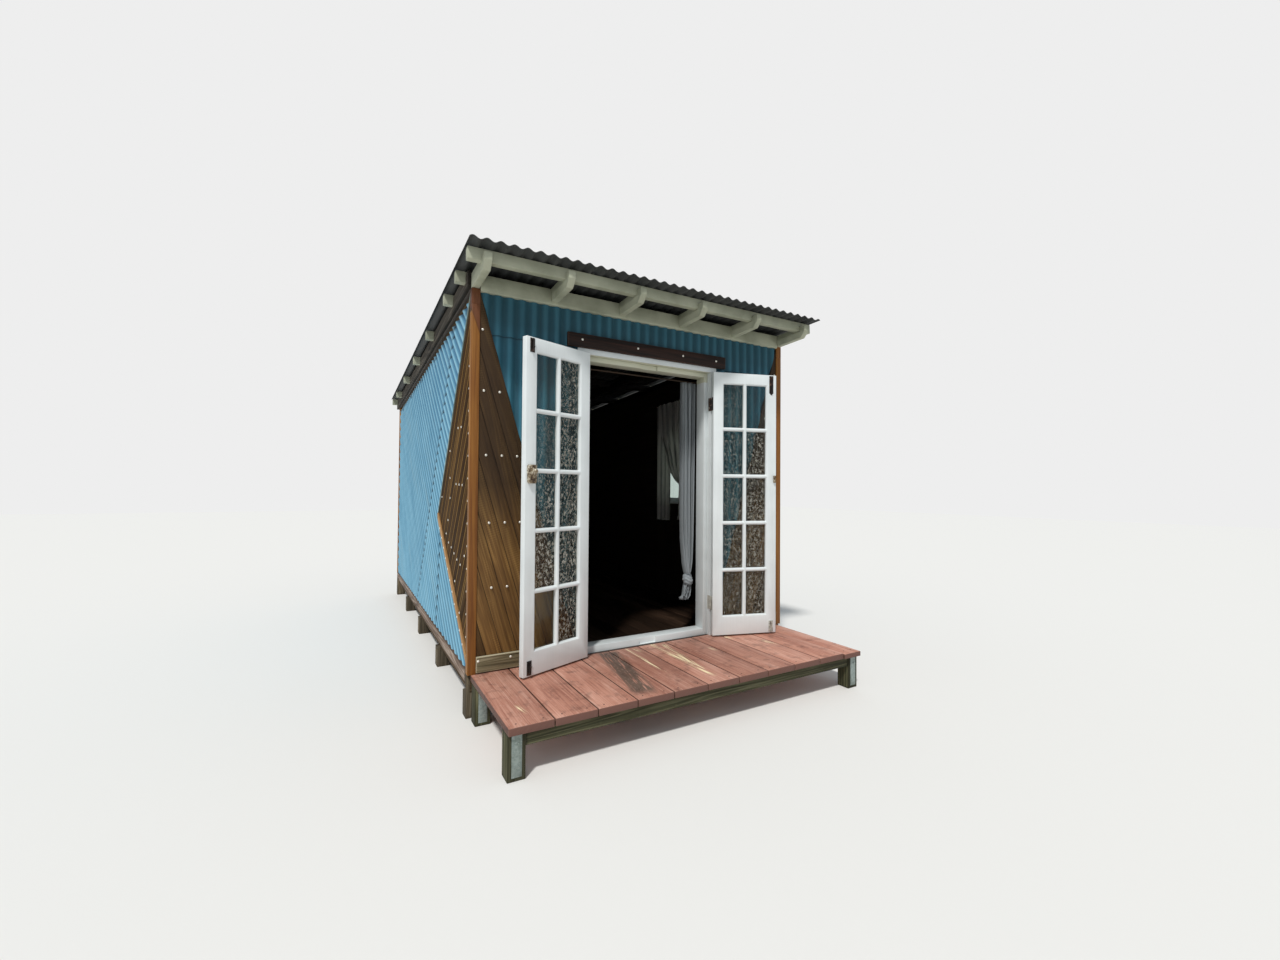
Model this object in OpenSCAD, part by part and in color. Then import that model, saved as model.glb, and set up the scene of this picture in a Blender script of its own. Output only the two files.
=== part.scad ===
// Garden office pod: a timber framed room under a mono-pitch roof, clad in corrugated iron
// with timber fans at the front corners, a pair of glazed doors and a small plank deck.
// X runs along the front, Y from the front to the back, Z up.
// The origin is on the ground, at the middle of the part's bounding box in X and Y.

/* [Building] */
// Width over the corner posts
body_w = 2530; // [2400:10:3200]
// Depth of the wall framing, front face to back face
body_l = 4200; // [3600:50:5400]
// Floor and deck height above the ground
floor_h = 260; // [230:5:400]
// Height of the wall over the door frame, up to the underside of the rafters
over_door_h = 264; // [220:1:500]
// Fall of the roof towards the back, in degrees
roof_pitch = 2.4; // [1:0.1:4]

/* [Floor] */
// Side of a square stump
stump_s = 90; // [70:5:120]
// Depth of the floor bearers and joists
bearer_h = 90; // [70:5:120]
// Width of the floor bearers and joists
bearer_w = 45; // [35:1:60]
// Thickness of the floor boards
floor_t = 20; // [16:1:25]
// Cover width of a floor board
floor_board_w = 140; // [90:5:200]
// Width and depth of the groove between two floor boards
floor_groove = 3; // [2:0.5:5]

/* [Wall framing] */
// Side of a square corner post
post_s = 50; // [45:1:70]
// How far a corner post stands out of the wall framing
post_proud = 22; // [20:1:30]
// Depth of the studs, which is the thickness of the wall framing
wall_t = 90; // [70:5:110]
// Width of a stud
stud_w = 45; // [35:1:50]
// Height of the bottom and top plates
plate_h = 45; // [35:1:60]
// Thickness of the inner lining
lining_t = 10; // [7:1:16]
// Height of the saw cut through a front corner post, below its top
post_cut_drop = 95; // [60:5:200]

/* [Corrugated iron] */
// Distance from crest to crest
iron_pitch = 76.2; // [60:0.1:90]
// Depth of a corrugation
iron_depth = 16; // [12:0.5:18]
// Thickness of the sheet
iron_t = 1.2; // [0.8:0.1:1.6]
// Overlap of one sheet over the next
iron_lap = 40; // [30:5:80]
// Strip between the rafters and the upper edge of the side sheets
iron_drop = 45; // [30:5:80]
// Length of the narrow sheets beside the timber on the side walls
side_sheet_l = 356; // [250:2:450]
// Height, below the fan's rear corner, at which the sheets under it begin
lower_lap_drop = 74; // [40:2:200]
// How far back the foot of that lap lies
lower_lap_rake = 205; // [100:5:300]

/* [Timber fans] */
// Width of a fan board
board_w = 90; // [60:5:120]
// Thickness of a fan board
board_t = 15; // [12:1:18]
// Open joint between two fan boards
board_gap = 2; // [1.5:0.5:5]
// How far the fan on a side wall reaches back
fan_reach = 1150; // [900:10:1160]
// Height above the floor at which that fan reaches furthest back
fan_mid_h = 880; // [820:10:940]
// Height above the floor of the foot of that fan
fan_foot_h = 50; // [35:5:100]
// Width of the trim along the upper edge of the side fan
upper_trim_w = 24; // [15:1:40]
// Width of the batten along the lower edge of the side fan
lower_trim_w = 52; // [35:1:70]
// Thickness of the trims
trim_t = 20; // [18:1:26]
// Side of the square bead along the batten
bead_s = 12; // [8:1:18]

/* [Skirts] */
// Height of the plank around the foot of the side and back walls
plank_h = 70; // [50:5:75]
// How far that plank rises above the floor
plank_rise = 20; // [10:5:30]
// Thickness of that plank
plank_t = 24; // [19:1:30]
// Height of the skirts on the front wall
skirt_h = 95; // [70:5:130]
// Thickness of the skirts on the front wall
skirt_t = 26; // [20:1:32]
// Gap under the skirts on the front wall
skirt_clear = 8; // [2:1:15]
// Height of the strip along the top of these skirts
strip_h = 9; // [5:1:20]
// How far that strip stands out of them
strip_proud = 4; // [2:0.5:10]

/* [Doorway] */
// Clear width between the jambs
door_w = 1055; // [980:5:1100]
// Width of a jamb's face
jamb_face = 50; // [40:1:60]
// Height of the head's face
head_face = 38; // [30:1:50]
// How far the frame stands out of the wall framing
frame_proud = 25; // [22:1:32]
// How far the frame stands into the room, past the lining
frame_inset = 15; // [5:1:25]
// Width of the stop that the doors close against
stop_w = 33; // [20:1:40]
// Height of the sill above the floor
sill_h = 48; // [35:1:60]
// Height of the board over the door frame
head_board_h = 90; // [70:5:110]
// Thickness of the board over the door frame
head_board_t = 22; // [18:1:30]
// How far that board runs past the door frame at each end
head_board_over = 78; // [40:1:110]

/* [Doors] */
// Height of a door
leaf_h = 1994; // [1900:1:2040]
// Thickness of a door
leaf_t = 38; // [34:1:42]
// Gap under a door
leaf_under = 12; // [8:1:20]
// Gap round a door
leaf_clear = 5; // [5:0.5:8]
// Gap between the two doors when closed
meeting_gap = 8; // [6:0.5:12]
// Width of a stile
stile_w = 84; // [70:1:95]
// Height of the top rail
top_rail = 88; // [70:1:100]
// Height of the bottom rail
bottom_rail = 145; // [120:1:220]
// Width of a glazing bar
bar_w = 27; // [24:1:32]
// Panes across a door
pane_cols = 2; // [1:1:2]
// Panes up a door
pane_rows = 5; // [3:1:6]
// Width of the glass rebate
rebate_w = 7; // [5:0.5:9]
// Depth of the glass rebate
rebate_d = 14; // [10:1:18]
// Thickness of the glass
glass_t = 4; // [3:0.5:5]
// How far the left door stands open, in degrees
left_open = 160; // [120:1:170]
// How far the right door stands open, in degrees
right_open = 163; // [120:1:170]
// Width of the moulded edge round a pane, on the inner face
mould_w = 9; // [5:0.5:10]
// Depth of that edge
mould_d = 8; // [4:0.5:12]
// Height of a hinge
hinge_h = 100; // [75:5:120]
// Distance of the hinges from the head and the foot of a door
hinge_up = 190; // [120:5:300]
// Radius of a hinge knuckle
knuckle_r = 6; // [5:0.5:6.5]
// Radius of a hinge pin
pin_r = 3; // [2.5:0.1:3.5]
// Clearance round that pin
pin_clear = 0.3; // [0.2:0.05:0.5]
// Thickness of a hinge flap
flap_t = 2; // [1.5:0.5:2.5]
// Height of the lock's middle above the floor
lock_up = 1195; // [1000:5:1300]
// Width of the lock's case
lock_w = 58; // [45:1:64]
// Height of the lock's case
lock_h = 110; // [80:5:140]
// Thickness of the lock's case
lock_t = 16; // [12:1:20]
// Radius of the lock's knobs
knob_r = 16; // [12:0.5:20]
// Width of a bolt's plate
bolt_w = 34; // [26:1:40]
// How far a bolt stands off the door
bolt_d = 14; // [12:1:16]
// Distance of the bolts from the head and the foot of a door
bolt_edge = 7; // [2:1:20]
// Height of the bolts at the foot of the doors and at the head of the left one
bolt_h = 84; // [70:1:120]
// Height of the bolt at the head of the right door, which has a pointed plate
long_bolt_h = 150; // [110:5:200]

/* [Window] */
// Distance of the side window from the front of the framing
window_from_front = 1110; // [1000:10:2000]
// Width of the side window
window_w = 600; // [400:10:700]
// Sill of the side window above the floor
window_sill_h = 960; // [900:10:1100]
// Height of the side window
window_h = 780; // [600:10:900]
// Thickness of the window's box frame
window_box_t = 20; // [16:1:25]
// How far that frame stands out of the iron
window_proud = 3; // [1:1:20]
// Width of the sash members
sash_w = 42; // [35:1:55]
// Thickness of the sash
sash_t = 34; // [28:1:40]

/* [Curtain] */
// Height of the curtain's top above the floor
curtain_top = 1955; // [1850:5:2000]
// Length of the curtain
curtain_l = 1710; // [1200:10:1800]
// Distance of the curtain's middle from the jamb, into the doorway
curtain_in = 80; // [70:5:200]
// Width of the gathered curtain
curtain_w = 130; // [90:5:160]
// Thickness of the gathered curtain
curtain_t = 50; // [30:2:60]
// Radius of the curtain rod
rod_r = 6; // [5:0.5:10]
// How far the rod runs past the door frame at each end
rod_over = 70; // [50:5:120]
// Radius of the rod across the window
window_rod_r = 5; // [4:0.5:8]

/* [Roof] */
// Number of rafters
rafters_n = 6; // [5:1:7]
// Width of a rafter
rafter_w = 45; // [40:1:50]
// Depth of a rafter
rafter_h = 90; // [80:5:120]
// How far the rafters reach past the front of the framing
rafter_front = 324; // [250:1:400]
// Height of the plumb face at a rafter's tip
rafter_nose = 45; // [30:1:60]
// Height of a roof batten
batten_h = 70; // [60:5:90]
// Width of a roof batten
batten_w = 45; // [35:1:50]
// Depth of the notch that holds a batten in the rafter
batten_sink = 35; // [20:1:40]
// How far the battens reach past the corner posts
batten_out = 78; // [40:1:80]
// Distance of the front batten from the rafters' tips
batten_in = 57; // [30:1:120]
// Distance of the batten over the front wall from the front of the framing
wall_batten = 70; // [30:5:120]
// Distance of the first batten over the room from the front of the framing
room_batten = 470; // [300:10:700]
// Distance from batten to batten over the room
batten_step = 820; // [600:10:900]
// Distance of the rear batten from the rafters' ends
batten_end = 15; // [5:5:60]
// Distance of the sheet's front edge from the front of the framing
sheet_front = 366; // [340:1:480]
// How far the sheet reaches past the back of the framing
sheet_back = 150; // [100:5:250]
// How far the sheet reaches past the rafters behind
rafter_in = 30; // [10:5:50]
// How far the sheet reaches past the barge boards behind
barge_in = 10; // [5:5:40]
// How far the sheet reaches past the battens' ends, to the nearest half corrugation
sheet_out = 10; // [0:1:40]
// Height of the boards that close the wall between the rafters
eave_board_h = 103; // [90:1:110]
// How far these boards hang below the rafters
eave_board_drop = 19; // [10:1:30]
// Thickness of these boards
eave_board_t = 30; // [25:1:36]
// Thickness of the barge boards
barge_t = 20; // [16:1:30]
// Height of the barge boards
barge_h = 105; // [90:1:115]
// Height of their lower edges above the rafters' underside
barge_up = 5; // [2:1:10]

/* [Deck] */
// Depth of the deck in front of the framing
deck_d = 815; // [600:5:1200]
// Width of a deck board
deck_board_w = 225; // [140:5:230]
// Thickness of a deck board
deck_board_t = 38; // [32:1:45]
// Open joint between two deck boards
deck_gap = 6; // [4:0.5:10]
// Number of full deck boards
deck_boards_n = 10; // [8:1:10]
// Width of the last, narrower deck board
last_board_w = 160; // [120:5:200]
// How far the last deck board reaches past the others
last_board_out = 10; // [0:1:15]
// How far the last deck board lies below the others
last_board_drop = 5; // [0:1:8]
// Depth of the deck bearers
deck_bearer_h = 68; // [60:1:100]
// Side of a square deck post
deck_post_s = 90; // [75:5:110]
// How far the deck posts stand back from the ends of the boards
deck_post_back = 22; // [20:1:40]
// How far the deck bearers stand back from the fronts of the posts
deck_bearer_in = 5; // [0:1:20]
// Width of the steel strap on a deck post
strap_w = 50; // [40:5:60]
// Thickness of the strap
strap_t = 4; // [3:1:5]
// Height of the strap's foot above the ground
strap_up = 20; // [10:5:60]
// Radius of the strap's bolt head
strap_bolt_r = 8; // [6:0.5:10]

/* [Hidden] */
$fn = 48;

// Gap between pieces of one kind that would otherwise touch
butt = 0.5;
// Gap under a raked face that another piece bears on
seat = 0.05;
// Gap between a piece and a fitting that hangs or lies against it
fit = 0.2;
// Margin by which a cutting shape passes the surface that it cuts
over = 1;

// Half widths measured from the middle of the building
half_w = body_w / 2;
frame_x = half_w - post_proud;
inner_x = frame_x - wall_t;
room_x = inner_x - lining_t;
post_in = post_s - post_proud;
post_x = half_w - post_s;

// Levels
eave_h = leaf_under + leaf_h + leaf_clear + head_face + over_door_h;
joist_top = floor_h - floor_t;
stump_h = joist_top - bearer_h;
plank_top = floor_h + plank_rise;
skirt_top = floor_h + skirt_clear + skirt_h;
eave_z = floor_h + eave_h - eave_board_drop;
iron_full = iron_depth + iron_t;
sheet_step = iron_t + 0.1;

// Door frame and doors
frame_w = door_w + 2 * jamb_face;
head_z = floor_h + leaf_under + leaf_h + leaf_clear;
frame_top = head_z + head_face;
frame_back = wall_t + lining_t + frame_inset;
stop_y = leaf_t - frame_proud + leaf_clear;
leaf_w = (door_w - meeting_gap) / 2 - leaf_clear;
axis_x = door_w / 2 - leaf_clear / 2;
axis_out = knuckle_r + 1;
axis_y = -frame_proud - axis_out;
pane_w = (leaf_w - 2 * stile_w - (pane_cols - 1) * bar_w) / pane_cols;
pane_h = (leaf_h - top_rail - bottom_rail - (pane_rows - 1) * bar_w) / pane_rows;
bolt_in = stile_w / 2;
keep_x = meeting_gap / 2 + bolt_in + bolt_w / 2 + leaf_clear;

// Roof
rafter_pitch = (body_w - rafter_w) / (rafters_n - 1);
sheet_end = body_l + sheet_back;
rafter_back = sheet_end - rafter_in;
batten_top = rafter_h - batten_sink + batten_h;
sheet_w = round(2 * (body_w + 2 * (batten_out + sheet_out)) / iron_pitch) / 2 * iron_pitch;
batten_fronts = concat(
    [batten_in - rafter_front, wall_batten],
    [for (y = [room_batten:batten_step:body_l - batten_step / 2]) y],
    [rafter_back - batten_end - batten_w]
);

// Studs of the side walls, and those of the right wall beside its window
side_bays = 8;
back_bays = 5;
back_bay = (2 * (inner_x - butt) - stud_w) / back_bays;
bay = (body_l - 2 * wall_t - stud_w) / side_bays;
side_studs = [for (i = [0:side_bays]) wall_t + i * bay];
window_y0 = window_from_front;
window_y1 = window_y0 + window_w;
window_z0 = floor_h + window_sill_h;
window_z1 = window_z0 + window_h;
window_studs = concat(
    [for (y = side_studs) if (y + 2 * stud_w < window_y0 || y > window_y1 + stud_w) y],
    [window_y0 - stud_w, window_y1]
);

// Deck
deck_x0 = -half_w + post_proud;
board_step = deck_board_w + deck_gap;
last_board_x = deck_x0 + deck_boards_n * board_step;
deck_x1 = last_board_x + last_board_w;
bearer_top = floor_h - deck_board_t;
deck_post_xs = [deck_x0, deck_x1 - deck_post_s];
deck_post_ys = [-deck_d + deck_post_back, -deck_post_s - stump_s / 2];

// The middle of the part in Y, from the tip of the last deck board to the back of the sheet
front_y = -deck_d - last_board_out;
back_y = sheet_end * cos(roof_pitch) + (batten_top + iron_full) * sin(roof_pitch);
mid_y = (front_y + back_y) / 2;

// Height of the rafters' underside at a distance behind the front of the framing
function under(y) = floor_h + eave_h - tan(roof_pitch) * y;

// Distance of a point from the line through two others
function off_line(p, a, b) = abs((b.x - a.x) * (p.y - a.y) - (b.y - a.y) * (p.x - a.x)) / norm(b - a);

// The point on the line through a and b at height z
function at_height(a, b, z) = [a.x + (b.x - a.x) * (z - a.y) / (b.y - a.y), z];

// Places the building's own axes in the part's frame
module placed() translate([0, -mid_y, 0]) children();

// Both sides of the building
module both_sides() {
    children();
    mirror([1, 0, 0]) children();
}

// A drawing in X and Z, given thickness t outwards from the plane at depth y
module on_front(t, y = 0) translate([0, y, 0]) rotate([90, 0, 0]) linear_extrude(t) children();

// Front wall pieces turned onto the left wall: a drawing's x is then minus the depth y
module on_left() translate([-frame_x, 0, 0]) rotate([0, 0, -90]) children();
module on_right() mirror([1, 0, 0]) on_left() children();

// Front wall pieces turned onto the back wall
module on_back() translate([0, body_l, 0]) rotate([0, 0, 180]) children();

// Axes that lie along the rafters' underside
module on_slope() translate([0, 0, floor_h + eave_h]) rotate([-roof_pitch, 0, 0]) children();

// A drawing in Y and Z, given thickness along X
module across(x0, x1) translate([x0, 0, 0]) rotate([90, 0, 90]) linear_extrude(x1 - x0) children();

// Section of a corrugated sheet from x0 to x1, its troughs on the axis and its crests towards -y
module wave(x0, x1) {
    step = iron_pitch / 8;
    xs = [for (i = [floor(x0 / step + 0.01):ceil(x1 / step - 0.01)]) i * step];
    dip = [for (x = xs) -iron_depth / 2 * (1 - cos(360 * x / iron_pitch))];
    last = len(xs) - 1;
    polygon(concat(
        [for (i = [0:last]) [xs[i], dip[i]]],
        [for (i = [last:-1:0]) [xs[i], dip[i] - iron_t]]
    ));
}

// Corrugated sheet on the front of the framing, its corrugations square to the line from a to b,
// cut to an outline in X and Z
module iron(outline, a, b, lift = 0) {
    along = (b - a) / norm(b - a);
    us = [for (p = outline) (p - a) * along];
    vs = [for (p = outline) (p - a) * [-along.y, along.x]];
    intersection() {
        translate([a.x, -lift, a.y]) rotate([0, -atan2(along.y, along.x), 0])
            translate([0, 0, min(vs) - over]) linear_extrude(max(vs) - min(vs) + 2 * over)
            wave(min(us) - iron_pitch / 4, max(us) + iron_pitch / 4);
        on_front(iron_full + lift + over) polygon(outline);
    }
}

// Upright corrugated sheet
module upright_iron(outline, lift = 0) iron(outline, [0, 0], [1, 0], lift);

// Boards that lie along the line from a to b and fill an outline on one side of it
module boards(outline, a, b, side) {
    pitch = board_w + board_gap;
    count = ceil(max([for (p = outline) off_line(p, a, b)]) / pitch - 0.05);
    reach = norm(b - a) + 2 * board_w;
    for (i = [0:count - 1])
        on_front(board_t) intersection() {
            polygon(outline);
            translate(a) rotate(atan2(b.y - a.y, b.x - a.x))
                translate([-reach / 2, side > 0 ? i * pitch : -i * pitch - board_w])
                square([2 * reach, board_w]);
        }
}

// Outline of the fan beside the doorway, at the left
fan_top = [-post_x, eave_z];
fan_toe = [-frame_w / 2 - butt, skirt_top];
front_fan = [fan_top, fan_toe, [-post_x, skirt_top]];

// Outline of a side wall as its drawing sees it, with x as minus the depth
side_near = -post_in - butt;
side_far = -body_l + post_in + butt;
function side_outline(drop) = [
    [side_near, plank_top + butt], [side_near, under(-side_near) - drop],
    [side_far, under(-side_far) - drop], [side_far, plank_top + butt]
];

// Corners of the fan on a side wall: at the top of the post, at its furthest back, at its foot
side_a = [side_near, under(-side_near)];
side_m = [-fan_reach, floor_h + fan_mid_h];
side_b = [side_near, floor_h + fan_foot_h];

// Unit vector along the corrugations of a side wall, away from the fan
rake = [side_m.y - side_a.y, side_a.x - side_m.x] / norm(side_m - side_a);

// Rows of stumps from the front to the back, the outer ones with a packer under the corner posts
module stumps() color("#8d7a5c") placed() {
    for (row = [0:0.25:1], x = [-1, 0, 1] * (frame_x - bearer_w / 2))
        translate([x - stump_s / 2, row * (body_l - stump_s), 0]) cube([stump_s, stump_s, stump_h]);
    both_sides() for (y = [0, body_l - post_in])
        translate([-half_w, y, stump_h]) cube([post_proud - butt, post_in, floor_h - stump_h]);
}

module floor_bearers() color("#7c6d52") placed() {
    for (x = [-1, 0, 1] * (frame_x - bearer_w / 2))
        translate([x - bearer_w / 2, bearer_w + butt, stump_h])
            cube([bearer_w, body_l - 2 * (bearer_w + butt), bearer_h]);
    for (y = [0, body_l - bearer_w])
        translate([-frame_x, y, stump_h]) cube([2 * frame_x, bearer_w, bearer_h]);
}

module floor_joists() color("#8a7757") placed() {
    rows = 9;
    step = (body_l - 2 * bearer_w) / rows;
    both_sides() for (i = [1:rows - 1])
        translate([bearer_w / 2 + butt, bearer_w + i * step - bearer_w / 2, stump_h])
            cube([frame_x - 1.5 * bearer_w - 2 * butt, bearer_w, bearer_h]);
}

module floor_boards() color("#6d4f36") placed() difference() {
    translate([-frame_x, 0, joist_top]) cube([2 * frame_x, body_l, floor_t]);
    for (x = [-floor(room_x / floor_board_w):floor(room_x / floor_board_w)])
        translate([x * floor_board_w - floor_groove / 2, wall_t + lining_t, floor_h - floor_groove])
            cube([floor_groove, body_l - 2 * (wall_t + lining_t), floor_groove + over]);
}

module corner_posts() color("#9c5a2c") placed() {
    front_top = under(post_in);
    back_top = under(body_l + post_proud);
    cut_z = front_top - post_cut_drop;
    both_sides() {
        translate([-half_w, -post_proud, floor_h]) cube([post_s, post_s, cut_z - floor_h]);
        translate([-half_w, -post_proud, cut_z + butt]) cube([post_s, post_s, post_cut_drop - butt]);
        translate([-half_w, body_l - post_in, floor_h]) cube([post_s, post_s, back_top - floor_h]);
    }
}

// A side wall member between two depths, its top cut to the fall of the roof
module side_member(y0, y1, z0, drop) across(-frame_x, -inner_x)
    polygon([[y0, z0], [y1, z0], [y1, under(y1) - drop], [y0, under(y0) - drop]]);

module wall_plates() color("#b08a5a") placed() {
    both_sides() {
        translate([frame_w / 2, 0, floor_h]) cube([inner_x - frame_w / 2 - butt, wall_t, plate_h]);
        translate([-frame_x, post_in, floor_h]) cube([wall_t, body_l - 2 * post_in, plate_h]);
        across(-frame_x, -inner_x) polygon([
            [post_in, under(post_in) - plate_h], [body_l - post_in, under(body_l - post_in) - plate_h],
            [body_l - post_in, under(body_l - post_in) - seat], [post_in, under(post_in) - seat]
        ]);
    }
    translate([-inner_x + butt, body_l - wall_t, floor_h])
        cube([2 * (inner_x - butt), wall_t, plate_h]);
    for (y = [0, body_l - wall_t]) across(-inner_x + butt, inner_x - butt) polygon([
        [y, under(y + wall_t) - plate_h], [y + wall_t, under(y + wall_t) - plate_h],
        [y + wall_t, under(y + wall_t) - seat], [y, under(y) - seat]
    ]);
}

module wall_studs() color("#b9945f") placed() {
    stud_z = floor_h + plate_h;
    front_h = under(wall_t) - plate_h - stud_z;
    back_h = under(body_l) - plate_h - stud_z;
    front_xs = [frame_w / 2, (frame_w / 2 + inner_x) / 2 - stud_w / 2, inner_x - stud_w - butt];
    both_sides() for (x = front_xs) translate([x, 0, stud_z]) cube([stud_w, wall_t, front_h]);
    for (i = [0:back_bays])
        translate([-inner_x + butt + i * back_bay, body_l - wall_t, stud_z]) cube([stud_w, wall_t, back_h]);
    for (y = side_studs) side_member(y, y + stud_w, stud_z, plate_h + seat);
    mirror([1, 0, 0]) for (y = window_studs) side_member(y, y + stud_w, stud_z, plate_h + seat);
    translate([-frame_w / 2 + butt, 0, frame_top + butt]) cube([frame_w - 2 * butt, wall_t, wall_t]);
    for (z = [window_z0 - stud_w - butt, window_z1 + butt])
        translate([inner_x, window_y0 + butt, z]) cube([wall_t, window_w - 2 * butt, stud_w]);
}

module front_lining() color("#4a3a2c") placed() {
    both_sides() translate([frame_w / 2 + butt, wall_t, floor_h])
        cube([room_x - frame_w / 2 - 2 * butt, lining_t, under(wall_t + lining_t) - floor_h - butt]);
    translate([-frame_w / 2, wall_t, frame_top + butt])
        cube([frame_w, lining_t, under(wall_t + lining_t) - frame_top - 2 * butt]);
}

module back_lining() color("#4a3a2c") placed()
    translate([-room_x + butt, body_l - wall_t - lining_t, floor_h])
        cube([2 * (room_x - butt), lining_t, under(body_l - wall_t) - floor_h - butt]);

// Side lining between two depths and above a level, up to a level or to the rafters
module side_lining(y0, y1, z0, z1 = 0) across(-inner_x, -room_x) polygon([
    [y0, z0], [y1, z0],
    [y1, z1 > 0 ? z1 : under(y1) - butt], [y0, z1 > 0 ? z1 : under(y0) - butt]
]);

module left_lining() color("#4a3a2c") placed() side_lining(wall_t, body_l - wall_t, floor_h);

module right_lining() color("#4a3a2c") placed() mirror([1, 0, 0]) {
    side_lining(wall_t, window_y0, floor_h);
    side_lining(window_y1, body_l - wall_t, floor_h);
    side_lining(window_y0 + butt, window_y1 - butt, floor_h, window_z0 - butt);
    side_lining(window_y0 + butt, window_y1 - butt, window_z1 + butt);
}

// The upper sheets run across the whole front and lap over the lower ones
seam_z = frame_top;
module front_iron_upper() color("#2f6f7d") placed() {
    lean = at_height(fan_top, fan_toe, seam_z);
    upright_iron([
        [fan_top.x + board_gap, eave_z - butt], [lean.x + board_gap, seam_z + butt],
        [-lean.x - board_gap, seam_z + butt], [-fan_top.x - board_gap, eave_z - butt]
    ], sheet_step);
}

module front_iron_lower() color("#3f8294") placed() both_sides() {
    lean = at_height(fan_top, fan_toe, seam_z + iron_lap);
    upright_iron([
        [lean.x + board_gap, seam_z + iron_lap], [fan_toe.x, fan_toe.y + board_gap],
        [fan_toe.x, seam_z - butt], [fan_toe.x, seam_z + iron_lap]
    ]);
}

// Outlines of the sheets on a side wall. The middle ones run beside the fan and lap over the rest.
edge_a = side_a + rake * board_gap;
edge_m = side_m + rake * board_gap - [board_gap, 0];
lap_top = at_height(side_m, side_b, side_m.y - lower_lap_drop) - [0, board_gap];
lap_foot = [lap_top.x - lower_lap_rake, 0];
middle_sheet = [
    edge_a, edge_m, lap_top, lap_foot,
    at_height(edge_a + rake * side_sheet_l, edge_m + rake * side_sheet_l, 0),
    edge_a + rake * side_sheet_l
];
lower_sheet = [
    lap_top - [iron_lap, 0], lap_top, side_b - [0, board_gap], [side_b.x, 0], lap_foot - [iron_lap, 0]
];
rear_edge = side_sheet_l - iron_lap;
rear_sheet = [
    edge_a + rake * rear_edge, at_height(edge_a + rake * rear_edge, edge_m + rake * rear_edge, 0),
    [side_far, 0], [side_far, side_a.y], [side_a.x, side_a.y + body_l]
];

// A side wall's sheets cut to the wall's outline
module side_iron() {
    for (sheet = [[rear_sheet, 0], [lower_sheet, 0], [middle_sheet, sheet_step]]) intersection() {
        iron(sheet[0], side_a, side_m, sheet[1]);
        on_front(2 * iron_full + over) polygon(side_outline(iron_drop));
    }
}

module left_iron() color("#4f9fc4") placed() on_left() side_iron();

module right_iron() color("#4f9fc4") placed() on_right() difference() {
    side_iron();
    translate([-window_y1 - butt, -2 * iron_full, window_z0 - butt])
        cube([window_w + 2 * butt, 2 * iron_full + over, window_h + 2 * butt]);
}

module back_iron() color("#4f9fc4") placed() on_back() upright_iron([
    [-post_x + butt, plank_top + butt], [post_x - butt, plank_top + butt],
    [post_x - butt, under(body_l + eave_board_t) - eave_board_drop - butt],
    [-post_x + butt, under(body_l + eave_board_t) - eave_board_drop - butt]
]);

module front_fans() color("#7a5a30") placed() both_sides() boards(front_fan, fan_top, fan_toe, -1);

// The fan's corners moved in by u from its upper edge and by v from its lower edge
function side_in(u, v) =
    let (
        upper = (side_m - side_a) / norm(side_m - side_a),
        lower = (side_b - side_m) / norm(side_b - side_m),
        a = [side_a.x, side_a.y + u / upper.x],
        b = [side_b.x, side_b.y + v / lower.x],
        t = cross(b - a, lower) / cross(upper, lower)
    )
    [a, a + upper * t, b];

// The boards lie within the trims
inner_fan = side_in(upper_trim_w + butt, lower_trim_w + bead_s + 2 * butt);
module side_fan_boards() boards(inner_fan, inner_fan[0], inner_fan[1], 1);

module left_fan() color("#7a5a30") placed() on_left() side_fan_boards();

module right_fan() color("#7a5a30") placed() on_right() side_fan_boards();

upper_trim = [side_a, side_m, side_in(upper_trim_w, 0)[1], side_in(upper_trim_w, 0)[0]];
module fan_upper_trims() color("#6f7468") placed() {
    on_left() on_front(trim_t) polygon(upper_trim);
    on_right() on_front(trim_t) polygon(upper_trim);
}

// Batten along the lower edge of a side fan, with the bead that stands on it
module fan_lower_trims() color("#b98a55") placed() {
    on_left() side_batten();
    on_right() side_batten();
}
module side_batten() {
    base = side_in(upper_trim_w + butt, 0);
    inner = side_in(upper_trim_w + butt, lower_trim_w);
    top = side_in(upper_trim_w + butt, lower_trim_w + bead_s);
    on_front(trim_t) polygon([base[1], base[2], inner[2], inner[1]]);
    on_front(trim_t + bead_s / 2) polygon([inner[1], inner[2], top[2], top[1]]);
}

// Skirts beside the door frame, each with a strip along its top
module front_skirts() color("#7d7460") placed() both_sides() {
    w = post_x - frame_w / 2 - 2 * butt;
    translate([frame_w / 2 + butt, -skirt_t, floor_h + skirt_clear]) cube([w, skirt_t, skirt_h - butt]);
    translate([frame_w / 2 + butt, -skirt_t - strip_proud, skirt_top - butt - strip_h])
        cube([w, skirt_t + strip_proud, strip_h]);
}

module wall_planks() color("#6f5a4c") placed() {
    both_sides() translate([-frame_x - plank_t, post_in + butt, plank_top - plank_h])
        cube([plank_t, body_l - 2 * (post_in + butt), plank_h]);
    translate([-post_x + butt, body_l, plank_top - plank_h])
        cube([2 * (post_x - butt), plank_t, plank_h]);
}

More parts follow.
